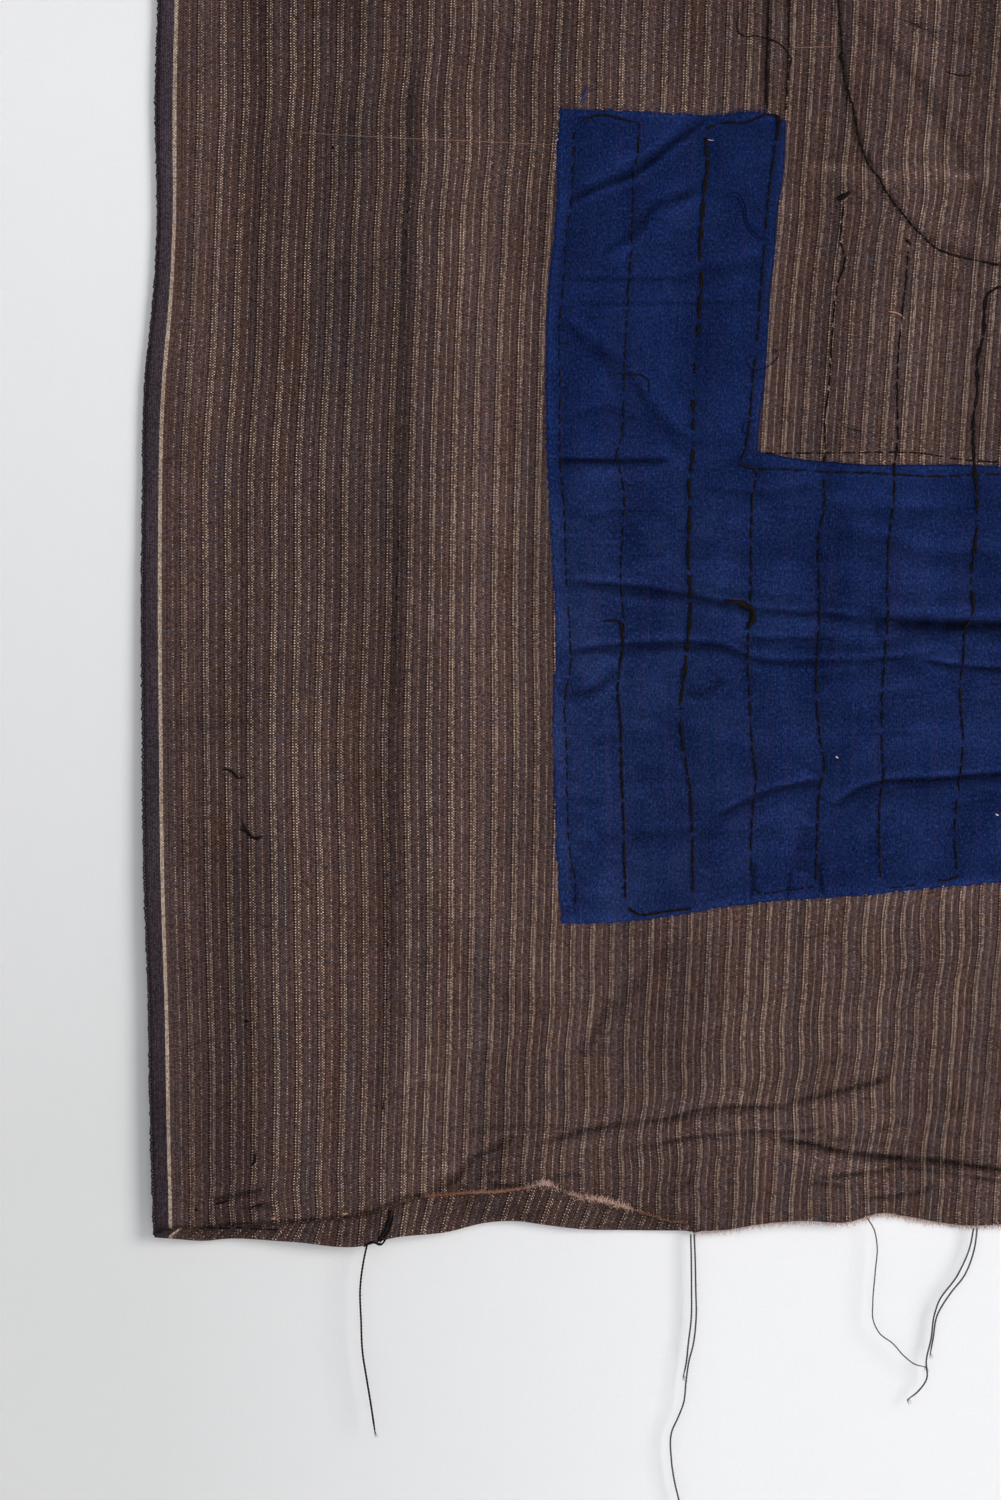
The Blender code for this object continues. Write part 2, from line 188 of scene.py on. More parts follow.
patchCreases = [
    (1.4, 0.8, 0.5, 0.5, [(187.5, 224.6), (174, 235), (161.6, 244.7), (149.3, 249.6), (138, 255)]),
    (1.9, 0.6, 0.2, 0.22, [(184.4, 248.3), (177.4, 252.6), (167.7, 256), (165, 260.5), (149.3, 272.8)]),
    (3.0, 0.7, 0.4, 0.10, [(172, 281.6), (182.6, 278), (205.4, 272.8)]),
    (0.9, 0.3, 0.2, 0.30, [(138, 279.8), (160, 279.8), (180, 279.3)]),
    (0.9, 0.3, 0.2, 0.20, [(140, 287.7), (170, 287.7), (204, 287)]),
    (3.2, 1.2, 0.3, 0.16, [(133.5, 292.5), (140.5, 297.4), (152.8, 306.1), (163.3, 318.4),
                           (172.1, 329), (182, 337)]),
    (0.9, 0.6, 0.3, 0.90, [(134, 340), (150, 340.2), (174, 340)]),
    (1.4, 0.8, 0.6, 0.5, [(136, 380.4), (158, 381.9), (179, 385), (200.2, 389.5), (223, 391.2),
                          (242.3, 393.9)]),
    (3.1, 2.1, 0.5, 1.0, [(239, 394), (250, 394.6), (262, 395), (283, 395.3), (302, 395.3)]),
    (5.2, 0.0, 0.0, 0.75, [(234, 393.4), (250, 394.4), (270, 395.4), (302, 395.8)]),
    (0.9, 0.4, 0.5, 0.50, [(199, 399.5), (230, 399.5)]),
    (1.3, 0.8, 0.6, 0.5, [(134, 405.6), (144, 403), (156.3, 401.8), (179, 400.9), (189.6, 401.7),
                          (200.2, 405.8), (223, 407), (242, 406.5), (264, 404.2)]),
    (2.2, 0.7, -0.3, 0.25, [(134, 416.3), (144, 418.4), (157, 410.3)]),
    (1.8, 0.6, -0.3, 0.30, [(177.5, 417.4), (184, 418.4), (191.5, 412.6)]),
    (2.4, 0.7, 0.3, 0.12, [(218, 413.5), (238, 409.8), (260, 408.5)]),
    (1.0, 0.8, 0.5, 0.70, [(256, 406.6), (270.4, 408.8), (283.5, 409.6), (301, 410.2)]),
    (3.0, 0.7, 0.5, 0.08, [(224, 356), (250, 357), (276, 355.5)]),
    (4.0, 1.2, 0.4, 0.12, [(223, 362.5), (240, 367), (252.8, 371), (283.4, 373.5), (302, 376)]),
    (1.1, 0.7, 0.5, 0.60, [(188, 459), (200.2, 452.6), (210.7, 449.1), (224, 446.6)]),
    (1.3, 1.1, 0.7, 0.85, [(224, 456), (230, 453.5), (235.3, 450), (244, 447.4), (261.6, 446.5),
                           (283.4, 444.7), (301, 443.2)]),
    (5.0, 0.9, 0.0, 0.05, [(224, 461), (250, 454), (301, 450.5)]),
    (2.5, 0.6, 0.3, 0.06, [(138, 467.5), (165, 465), (182.7, 464), (214.2, 463.2)]),
    (3.5, 0.6, 0.0, 0.06, [(216, 478), (217, 470), (219, 461)]),
    (0.8, 0.4, 0.0, 0.40, [(201.4, 474), (200.4, 487)]),
    (0.8, 0.4, 0.0, 0.40, [(213.6, 476), (212, 487)]),
    (0.8, 0.4, 0.0, 0.40, [(222.8, 474), (224, 485)]),
    (1.6, 0.4, 0.2, 0.10, [(140, 326), (152, 323), (163, 326)]),
    (1.6, 0.4, 0.3, 0.10, [(142, 360), (158, 357), (178, 359)]),
    (1.6, 0.4, 0.3, 0.10, [(182, 349), (204, 351), (222, 348.5)]),
]

# How much further the left selvedge stands off than its solid, as (down, lift).
leftLift = [(0, 0), (90, -1.0), (187, -2.0), (300, -1.6), (400, -0.4), (520, 1.2), (600, 1.8)]

# Places where the warp ends sway: across, down, reach across, reach down, shift, wavelength.
sways = [
    (250, 560, 60, 40, 0.8, 30), (205, 575, 40, 25, -0.7, 24), (160, 545, 40, 40, 0.6, 38),
    (250, 240, 40, 60, 0.3, 62), (95, 230, 60, 40, 0.5, 44), (285, 500, 30, 50, 0.7, 33),
    (40, 590, 40, 12, 0.5, 22), (263, 246, 32, 15, 1.0, 42),
]

# Rows of running stitch, as routes of (across, down).
sewingRows = {
    "row1": [(141.7, 231), (141.2, 242), (140.5, 255), (139, 264.3), (138, 280.3), (136.7, 293.3),
             (136.7, 316.7), (136.7, 340), (138, 353.3), (138.8, 380), (140, 398), (140.3, 408.7),
             (138.5, 418.3), (139, 438.7), (139.3, 460), (140.3, 472.7), (141.7, 480), (141.7, 490.7)],
    "topArc12": [(142, 228.3), (146, 226.3), (151.7, 225.3), (157.3, 226.7), (163.2, 228)],
    "row2": [(163.2, 228), (162.5, 239), (161.3, 245.3), (161, 255), (160.7, 267.7), (159.7, 280.3),
             (159, 293.3), (158.3, 306), (158, 316.7), (157, 333.7), (155.5, 339), (157, 344.3),
             (157, 380), (158, 396), (157.7, 402.3), (156, 415), (157, 428), (157.3, 444), (158, 460),
             (158.2, 473.7), (158.7, 486.3)],
    "bottomArc23": [(159.3, 489), (162.3, 491.2), (172, 490.6), (180.7, 489.5)],
    "row3": [(185.3, 232), (186, 242), (184.8, 250), (184.2, 258), (183.7, 266.3), (183.3, 274),
             (183.9, 278), (183.3, 288.7), (182.7, 299.7), (181.3, 316.7), (180.7, 341), (179.8, 347.3),
             (180, 353.3), (179.5, 374.7), (180.3, 385.3), (179.5, 399), (178, 413), (176.8, 422.7),
             (178.3, 438.7), (180, 449), (180.7, 460), (180.9, 475.7), (181, 485)],
    "topArc34": [(186, 229.3), (189, 228), (192.7, 227.3), (198.3, 227.5), (202.3, 226), (205.7, 224.8),
                 (209, 225.3), (209.7, 227.7), (209, 233.3)],
    "row4": [(209.5, 227.3), (209.3, 229.3), (208, 239), (206.7, 248.7), (205.7, 258), (205, 267.7),
             (204, 280.3), (203, 293.3), (202, 304.7), (200.7, 316.7), (199.7, 329.3), (198, 338),
             (196.7, 341), (201.3, 343.3), (200.7, 353.3), (200.3, 374.7), (200.3, 388.3), (199.2, 404.3),
             (199.7, 417.3), (200.7, 436.3), (201.9, 447), (201.3, 452.3), (200.3, 465), (200.3, 479)],
    "bottomArc45": [(200.3, 480), (202, 483.3), (212.3, 483.3), (221, 482.3)],
    "row5": [(231, 255.7), (230.3, 262), (230, 267.3), (231.3, 272.3), (231, 276.3), (229.3, 280.7),
             (228.3, 286.7), (227.7, 292.7), (226.7, 308.7), (226, 318.3), (225, 324.7), (225, 337.3),
             (224.7, 342.3), (224.3, 359), (223.3, 363), (223, 377), (223.2, 390.7), (222, 417.3),
             (223.2, 432), (224.7, 444), (223.2, 449), (222.7, 456.7), (222, 473.7), (221.7, 480)],
    "row6": [(252.3, 271), (251.7, 279.3), (250.3, 292.7), (249.3, 302.3), (248.7, 318.3), (248.7, 336),
             (248, 340.7), (247.7, 353.3), (246, 367), (245.5, 385.3), (245.7, 393.7), (244.7, 405.3),
             (244, 417.3), (243.7, 433.3), (244.3, 447), (243.3, 453.3), (243, 470.3), (243.3, 479)],
    "row7": [(283.7, 282), (279.3, 284.7), (278.5, 287.7), (277.9, 299), (276.3, 304.3), (275.7, 318.3),
             (274.7, 324.7), (274.5, 336), (275.3, 347.7), (275.7, 356.7), (275.3, 365.3), (273.7, 381),
             (274.3, 390.7), (271.7, 397), (271.3, 404.3), (270, 417.3), (271, 433.3), (270, 447),
             (269, 454.3), (268.3, 465), (269, 476.3)],
    "row7Tail": [(269.5, 478.7), (265.7, 480), (262.7, 480)],
    "innerRow": [(196.3, 341.7), (201.3, 342.7), (214.3, 343.3), (224.3, 344), (238.3, 344.5),
                 (247.3, 345), (260, 345.7), (275.3, 345), (283.7, 344.7), (298.3, 345)],
    "innerLine": [(205.3, 337.7), (234.7, 337.7), (257, 338), (269.7, 339.7), (283.7, 340.6), (298.3, 341)],
    "diagonal": [(229.3, 150), (229.3, 186.7), (230.3, 199.3), (230.7, 207), (231.3, 212.3),
                 (233, 218.7), (234.7, 225), (236, 232.7), (237.7, 238), (240, 243), (242.8, 246.7),
                 (245, 250.7), (247.3, 254.3), (250.7, 258.3), (253.7, 262), (257, 265.3), (261.3, 269.3),
                 (267.7, 271.7), (275.3, 273.3), (283.7, 275), (293.3, 277.3)],
    "lineA": [(206.3, 155), (206.3, 186.7), (206.2, 193), (206, 202.7), (205.7, 214), (205.7, 222.7)],
    "lineB": [(212.7, 173.3), (212.7, 186.7), (213, 196.7), (213.3, 207), (212.7, 214.7), (212, 223)],
    "hemStitches": [(18, 595.6), (24, 596), (31, 595.9), (38, 596.2), (43.3, 596.3)],
    "bottomBit": [(246.7, 482.6), (250.7, 482.2), (255, 481.6)],
    "streak": [(88, 187), (86, 246), (84.3, 314), (81.7, 396), (79.5, 449), (79, 520), (77.3, 573)],
}


def smoothStep(value):
    value = np.clip(value, 0.0, 1.0)
    return value * value * (3 - 2 * value)


def readTable(table, at):
    # A smooth curve through pairs, held level beyond the ends.
    keys = np.array([row[0] for row in table], float)
    values = np.array([row[1] for row in table], float)
    slopes = np.gradient(values, keys)
    at = np.clip(at, keys[0], keys[-1])
    index = np.clip(np.searchsorted(keys, at) - 1, 0, len(keys) - 2)
    step = keys[index + 1] - keys[index]
    t = (at - keys[index]) / step
    return (
        values[index] * (1 + 2 * t) * (1 - t) ** 2
        + slopes[index] * step * t * (1 - t) ** 2
        + values[index + 1] * t * t * (3 - 2 * t)
        + slopes[index + 1] * step * t * t * (t - 1)
    )


def smoothRoute(points, spacing):
    # Evenly spaced points on a smooth curve through a route's own points.
    points = np.array(points, float)
    travelled = np.concatenate([[0], np.cumsum(np.linalg.norm(np.diff(points, axis=0), axis=1))])
    count = max(8, round(travelled[-1] / spacing)) + 1
    at = np.linspace(0, travelled[-1], count)
    lanes = [readTable(list(zip(travelled, points[:, lane])), at) for lane in range(points.shape[1])]
    return np.stack(lanes, axis=1)


middleAcross = (leftSelvedge[0][1] + rightSelvedge[0][1]) / 2


def toWorld(across, down, relief):
    across, down, relief = np.broadcast_arrays(across, down, relief)
    return np.stack([(across - middleAcross) * mm, -relief * mm, -down * mm], axis=-1)


def acrossOf(flat, down):
    # Where a warp end with that flat place hangs at that height.
    knots = np.array([0, *warpRuns, cloth["width"]], float)
    inner = [readTable(list(zip(warpHeights, run)), down) for run in warpRuns.values()]
    lanes = np.array([readTable(leftSelvedge, down), *inner, readTable(rightSelvedge, down)])
    slopes = np.gradient(lanes, knots, axis=0)
    index = np.clip(np.searchsorted(knots, flat) - 1, 0, len(knots) - 2)
    step = knots[index + 1] - knots[index]
    t = (flat - knots[index]) / step
    rest = np.indices(flat.shape)
    low = (index, *rest)
    high = (index + 1, *rest)
    inside = np.minimum(1.0, np.minimum(flat, cloth["width"] - flat) / 25)
    sway = np.zeros(flat.shape)
    for across, place, reachAcross, reachDown, shift, wavelength in sways:
        weight = np.exp(-(((flat - across) / reachAcross) ** 2) - ((down - place) / reachDown) ** 2)
        sway += shift * weight * np.sin(2 * math.pi * (down - place + 0.3 * (flat - across)) / wavelength)
    return sway * inside + (
        lanes[low] * (1 + 2 * t) * (1 - t) ** 2
        + slopes[low] * step * t * (1 - t) ** 2
        + lanes[high] * t * t * (3 - 2 * t)
        + slopes[high] * step * t * t * (t - 1)
    )


def foldRelief(fold, across, down, widthShare=1.0, heightShare=1.0):
    startAcross, startDown, endAcross, endDown, bow, halfWidth, height = fold
    runAcross = endAcross - startAcross
    runDown = endDown - startDown
    length = math.hypot(runAcross, runDown)
    along = ((across - startAcross) * runAcross + (down - startDown) * runDown) / length**2
    beside = ((across - startAcross) * runDown - (down - startDown) * runAcross) / length
    beside = beside - bow * 4 * along * (1 - along)
    taper = smoothStep(along / 0.2) * smoothStep((1 - along) / 0.2)
    return height * heightShare * taper * np.exp(-((beside / (halfWidth * widthShare)) ** 2))


def creaseEffect(table, across, down):
    # How far the creases lift or sink each place, and how much painted shade darkens it (stains and worn
    # paleness ride the same values).
    relief = np.zeros(across.shape)
    shade = np.zeros(across.shape)
    for halfWidth, depth, tuck, darkness, route in table:
        line = smoothRoute(route, 3.5)
        reach = 3.2 * halfWidth
        near = (across > line[:, 0].min() - reach) & (across < line[:, 0].max() + reach)
        near &= (down > line[:, 1].min() - reach) & (down < line[:, 1].max() + reach)
        if not near.any():
            continue
        pointAcross = across[near]
        pointDown = down[near]
        closest = np.full(pointAcross.shape, 1e9)
        along = np.zeros(pointAcross.shape)
        side = np.zeros(pointAcross.shape)
        count = len(line) - 1
        for number in range(count):
            start = line[number]
            run = line[number + 1] - start
            t = (pointAcross - start[0]) * run[0] + (pointDown - start[1]) * run[1]
            t = np.clip(t / np.dot(run, run), 0, 1)
            offAcross = pointAcross - start[0] - t * run[0]
            offDown = pointDown - start[1] - t * run[1]
            distance = np.hypot(offAcross, offDown)
            better = distance < closest
            closest = np.where(better, distance, closest)
            along = np.where(better, (number + t) / count, along)
            side = np.where(better, np.sign(run[0] * offDown - run[1] * offAcross), side)
        taper = smoothStep(along / 0.12) * smoothStep((1 - along) / 0.12)
        s = closest / halfWidth
        furrow = (1 - abs(tuck)) * np.exp(-s**2) + tuck * side * s * np.exp(0.5 - s**2 / 2)
        relief[near] -= depth * taper * furrow
        lineShade = darkness * np.sqrt(taper) * np.exp(-((closest / (0.5 * halfWidth + 0.3)) ** 2))
        shade[near] = np.where(np.abs(lineShade) > np.abs(shade[near]), lineShade, shade[near])
    return relief, shade


def wrinkleTable(seed, count, zone, lengths, widths, heights, tilt):
    # Small random creases, most of them level, between the given bounds.
    rng = np.random.default_rng(seed)
    table = []
    for _ in range(count):
        across = rng.uniform(zone[0], zone[1])
        down = rng.uniform(zone[2], zone[3])
        length = rng.uniform(*lengths)
        lean = rng.normal(0, tilt)
        bow = rng.normal(0, 0.6)
        height = rng.uniform(*heights) * rng.choice([-1, 1])
        reachAcross = length / 2 * math.cos(lean)
        reachDown = length / 2 * math.sin(lean)
        table.append((across - reachAcross, down - reachDown, across + reachAcross,
                      down + reachDown, bow, rng.uniform(*widths), height))
    return table


def wrinkleRelief(table, across, down):
    relief = np.zeros(across.shape)
    for fold in table:
        margin = 3 * fold[5] + 1.5
        near = (across > min(fold[0], fold[2]) - margin) & (across < max(fold[0], fold[2]) + margin)
        near &= (down > min(fold[1], fold[3]) - margin) & (down < max(fold[1], fold[3]) + margin)
        if near.any():
            relief[near] += foldRelief(fold, across[near], down[near])
    return relief


clothWrinkles = (
    wrinkleTable(11, 90, (60, 300, 500, 592), (9, 26), (1.4, 2.8), (0.06, 0.22), 0.35)
    + wrinkleTable(12, 44, (205, 300, 150, 335), (8, 22), (1.8, 3.2), (0.06, 0.20), 1.2)
    + wrinkleTable(13, 34, (5, 130, 200, 590), (12, 30), (2.5, 4.5), (0.05, 0.16), 1.4)
)
patchWrinkles = (
    wrinkleTable(21, 90, (134, 208, 228, 340), (6, 18), (1.0, 2.2), (0.05, 0.16), 0.5)
    + wrinkleTable(22, 220, (134, 300, 342, 492), (7, 22), (1.0, 2.4), (0.06, 0.22), 0.3)
)


def broadRelief(across, down, widthShare=1.0, heightShare=1.0):
    # Ripples and main folds, as the solid has them where both shares are 1.
    across, down = np.broadcast_arrays(np.asarray(across, float), np.asarray(down, float))
    freedom = smoothStep(down / cloth["topStiffDepth"]) * (0.75 + 0.25 * down / 600)
    relief = np.zeros(across.shape)
    for wavelength, height, phase, lean in ripples:
        relief += height * np.sin(2 * math.pi * (across + lean * down) / wavelength + phase)
    relief *= freedom
    for fold in mainFolds:
        relief += foldRelief(fold, across, down, widthShare, heightShare)
    return relief


def clothRelief(across, down):
    # How far the striped cloth's mid surface stands out.
    across, down = np.broadcast_arrays(np.asarray(across, float), np.asarray(down, float))
    relief = broadRelief(across, down, 0.6, 0.6) + wrinkleRelief(clothWrinkles, across, down)
    relief += creaseEffect(clothCreases, across, down)[0]
    # The left selvedge lies back against the wall above and stands off it below
    relief += readTable(leftLift, down) * np.exp(-((across / 60) ** 2))
    relief -= 1.2 * smoothStep((down - 500) / 90) * smoothStep((across - 60) / 70)
    # It comes to rest softly against the wall
    over = relief + wallBack["near"] + wallBack["lean"] * down - 0.6
    return relief - over + 0.5 * (over + np.sqrt(over**2 + 0.5))


def hemShare(across):
    return smoothStep(readTable(hemHeight, across) / 1.6)


def hemTop(across):
    return readTable(bottomLine, across) - np.maximum(cloth["plainEdge"], readTable(hemHeight, across))


def turnLine(across):
    turned = cloth["turnRadius"] + cloth["cadThickness"] / 2
    return readTable(bottomLine, across) - 2.0 + (2.0 - turned) * hemShare(across)


patch = {
    "layer": 0.72,       # the cloth's mid surface to the patch's front, where it is sewn down
    "puff": 0.75,        # how far it lifts between rows
    "columns": (96, 122),  # arm, foot
    "rows": (149, 196),   # arm, foot
    "rowNames": ("row1", "row2", "row3", "row4", "row5", "row6", "row7"),
}


def rowAcross(name, down):
    route = sorted((place[1], place[0]) for place in sewingRows[name])
    keys = [route[0]]
    for place in route[1:]:
        if place[0] > keys[-1][0] + 0.5:
            keys.append(place)
    return readTable(keys, down)


def puffRelief(across, down):
    # The patch lies down along each row of stitches and lifts between them.
    lines = [rowAcross(name, down) for name in patch["rowNames"]]
    lines.append(readTable(patchRight, down) - 2.0)
    relief = np.full(across.shape, 0.12)
    for left, right in zip(lines, lines[1:]):
        inside = (across >= left) & (across <= right)
        share = np.clip((across - left) / (right - left), 0, 1)
        relief = np.where(inside, patch["puff"] * np.sin(math.pi * share) ** 1.4, relief)
    edgeAbove = readTable(patchTop, across) + 3.0
    edgeBelow = readTable(patchBottom, across) - 4.0
    settle = smoothStep((down - edgeAbove) / 9) * smoothStep((edgeBelow - down) / 9)
    return relief * (0.25 + 0.75 * settle)


def patchRelief(across, down):
    across, down = np.broadcast_arrays(np.asarray(across, float), np.asarray(down, float))
    puff = puffRelief(across, down)
    base = broadRelief(across, down, 0.6, 0.6) + patch["layer"] + puff
    wrinkles = wrinkleRelief(patchWrinkles, across, down)
    base += np.maximum(wrinkles, -0.15 - puff * 0.6) + creaseEffect(patchCreases, across, down)[0]
    return np.maximum(base, clothRelief(across, down) + 0.4)


def onPatch(across, down):
    inside = (across > readTable(patchLeft, down)) & (across < readTable(patchRight, down))
    inside &= (down > readTable(patchTop, across)) & (down < readTable(patchBottom, across))
    return inside & ((across < readTable(armRight, down)) | (down > readTable(innerEdge, across)))


def frontRelief(across, down):
    # The surface that a thread lies on: the patch where there is one, else the cloth.
    across = np.asarray(across, float)
    down = np.asarray(down, float)
    bare = clothRelief(across, down) + cloth["thickness"] / 2
    covered = patchRelief(across, down)
    return np.where(onPatch(across, down), covered, bare)


# Nodes

def addNode(tree, kind, inputs=None, **settings):
    node = tree.nodes.new(kind)
    for key, value in settings.items():
        setattr(node, key, value)
    for key, value in (inputs or {}).items():
        if isinstance(value, bpy.types.NodeSocket):
            tree.links.new(value, node.inputs[key])
        else:
            node.inputs[key].default_value = value
    return node


def maths(tree, operation, *values):
    return addNode(tree, "ShaderNodeMath", dict(enumerate(values)), operation=operation).outputs[0]


def times(tree, first, second):
    return maths(tree, "MULTIPLY", first, second)


def plus(tree, first, second):
    return maths(tree, "ADD", first, second)


def minus(tree, first, second):
    return maths(tree, "SUBTRACT", first, second)


def divided(tree, first, second):
    return maths(tree, "DIVIDE", first, second)


def vectorMaths(tree, operation, *values):
    return addNode(tree, "ShaderNodeVectorMath", dict(enumerate(values)), operation=operation).outputs[0]


def combine(tree, x, y, z):
    return addNode(tree, "ShaderNodeCombineXYZ", {0: x, 1: y, 2: z}).outputs[0]


def axesOf(tree, vector):
    return addNode(tree, "ShaderNodeSeparateXYZ", {0: vector}).outputs


def attributeOf(tree, name):
    return addNode(tree, "ShaderNodeAttribute", attribute_name=name).outputs["Fac"]


def chance(tree, number):
    # The same random share from 0 to 1 for everything with that number.
    return addNode(tree, "ShaderNodeTexWhiteNoise", {"W": number}, noise_dimensions="1D").outputs[0]


def mixColour(tree, factor, first, second, blend="MIX"):
    values = {0: factor, 6: first, 7: second}
    return addNode(tree, "ShaderNodeMix", values, data_type="RGBA", blend_type=blend).outputs[2]


def darken(tree, colour, tone):
    return mixColour(tree, 1.0, colour, combine(tree, tone, tone, tone), "MULTIPLY")


def remap(tree, value, fromLow, fromHigh, toLow, toHigh):
    values = {0: value, 1: fromLow, 2: fromHigh, 3: toLow, 4: toHigh}
    return addNode(tree, "ShaderNodeMapRange", values).outputs[0]


def shareOf(tree, value, low, high, top=1.0):
    # Nothing at low, and the whole of top at high.
    return remap(tree, value, low, high, 0.0, top)


def noiseOf(tree, vector, scale, detail=2.0, roughness=0.5, kind="3D"):
    settings = {"Scale": scale, "Detail": detail, "Roughness": roughness}
    settings["W" if kind == "1D" else "Vector"] = vector
    return addNode(tree, "ShaderNodeTexNoise", settings, noise_dimensions=kind).outputs[0]


def shade(red, green, blue):
    # A colour as it looks on a screen, from 0 to 255, made linear.
    linear = [((v / 255 + 0.055) / 1.055) ** 2.4 if v > 10 else v / 255 / 12.92 for v in (red, green, blue)]
    return (*linear, 1.0)


def newGroup(name, kind, inputs, outputs):
    group = bpy.data.node_groups.new(name, kind)
    for label, socketType, default in inputs:
        socket = group.interface.new_socket(label, in_out="INPUT", socket_type=socketType)
        if default is not None:
            socket.default_value = default
    for label, socketType in outputs:
        group.interface.new_socket(label, in_out="OUTPUT", socket_type=socketType)
    entry = group.nodes.new("NodeGroupInput")
    leave = group.nodes.new("NodeGroupOutput")
    return group, entry.outputs, leave.inputs


def makePlainWeave():
    # Which yarn lies on top at each crossing, from a vector in flat-cloth metres.
    group, given, out = newGroup(
        "plainWeave", "ShaderNodeTree",
        [("Vector", "NodeSocketVector", None), ("End Pitch", "NodeSocketFloat", 0.0005),
         ("Pick Pitch", "NodeSocketFloat", 0.0005), ("Wander", "NodeSocketFloat", 0.0002)],
        [("Warp On Top", "NodeSocketFloat"), ("End Number", "NodeSocketFloat"),
         ("Height", "NodeSocketFloat"), ("Speckle", "NodeSocketFloat")],
    )
    t = group
    axes = axesOf(t, given["Vector"])
    sway = addNode(t, "ShaderNodeTexNoise", {"Vector": given["Vector"], "Scale": 260.0, "Detail": 2.0})
    swayAxes = axesOf(t, sway.outputs[1])
    shifted = []
    for lane in range(2):
        offset = times(t, minus(t, swayAxes[lane], 0.5), given["Wander"])
        shifted.append(plus(t, axes[lane], offset))
    ends = divided(t, shifted[0], given["End Pitch"])
    picks = divided(t, shifted[1], given["Pick Pitch"])
    endNumber = maths(t, "FLOOR", ends)
    pickNumber = maths(t, "FLOOR", picks)
    total = plus(t, endNumber, pickNumber)
    t.links.new(maths(t, "FLOORED_MODULO", total, 2.0), out["Warp On Top"])
    t.links.new(endNumber, out["End Number"])
    humpAcross = maths(t, "SINE", times(t, maths(t, "FRACT", ends), math.pi))
    humpDown = maths(t, "SINE", times(t, maths(t, "FRACT", picks), math.pi))
    t.links.new(times(t, humpAcross, humpDown), out["Height"])
    crossing = combine(t, endNumber, pickNumber, 0.0)
    t.links.new(addNode(t, "ShaderNodeTexWhiteNoise", {0: crossing}).outputs[0], out["Speckle"])
    return group


def makeDyeVariation():
    # Uneven dye and age: soft clouds, bands along the warp and short streaks along the weft.
    group, given, out = newGroup(
        "dyeVariation", "ShaderNodeTree",
        [("Vector", "NodeSocketVector", None), ("Band Scale", "NodeSocketFloat", 140.0),
         ("Cloud Scale", "NodeSocketFloat", 22.0)],
        [("Bands", "NodeSocketFloat"), ("Clouds", "NodeSocketFloat"), ("Streaks", "NodeSocketFloat")],
    )
    t = group
    long = vectorMaths(t, "MULTIPLY", given["Vector"], (1.0, 0.035, 1.0))
    wide = vectorMaths(t, "MULTIPLY", given["Vector"], (0.06, 1.0, 1.0))
    t.links.new(noiseOf(t, long, given["Band Scale"], 3.0, 0.6), out["Bands"])
    t.links.new(noiseOf(t, given["Vector"], given["Cloud Scale"], 3.0, 0.55), out["Clouds"])
    t.links.new(noiseOf(t, wide, 900.0, 2.0, 0.6), out["Streaks"])
    return group


plainWeave = makePlainWeave()
dyeVariation = makeDyeVariation()
print("shared node groups made")


def newMaterial(name, roughness, sheen):
    material = bpy.data.materials.new(name)
    material.use_nodes = True
    tree = material.node_tree
    shader = tree.nodes["Principled BSDF"]
    shader.inputs["Roughness"].default_value = roughness
    shader.inputs["Specular IOR Level"].default_value = 0.04
    shader.inputs["Sheen Weight"].default_value = sheen
    shader.inputs["Sheen Roughness"].default_value = 0.6
    return material, tree, shader


def placeGroup(tree, group, inputs):
    return addNode(tree, "ShaderNodeGroup", inputs, node_tree=group).outputs


def paintedFoldShade(tree, place, tone, furrow, ridge, creased):
    # Painted shade: furrows and crease lines are painted darker where shade falls in them, and ridges are
    # painted paler, partly as wear and partly as a painted highlight.
    tone = times(tree, tone, remap(tree, attributeOf(tree, "foldDepth"), -1.0, 1.0, furrow, ridge))
    uneven = remap(tree, noiseOf(tree, place, 160.0, 3.0, 0.6), 0.32, 0.62, 0.45, 1.0)
    crease = times(tree, attributeOf(tree, "creaseShade"), uneven)
    return times(tree, tone, remap(tree, crease, 0.0, 1.0, 1.0, creased)), crease


def clothBump(tree, height, shader):
    bump = addNode(tree, "ShaderNodeBump", {"Strength": 0.6, "Distance": 0.00012, "Height": height})
    tree.links.new(bump.outputs[0], shader.inputs["Normal"])


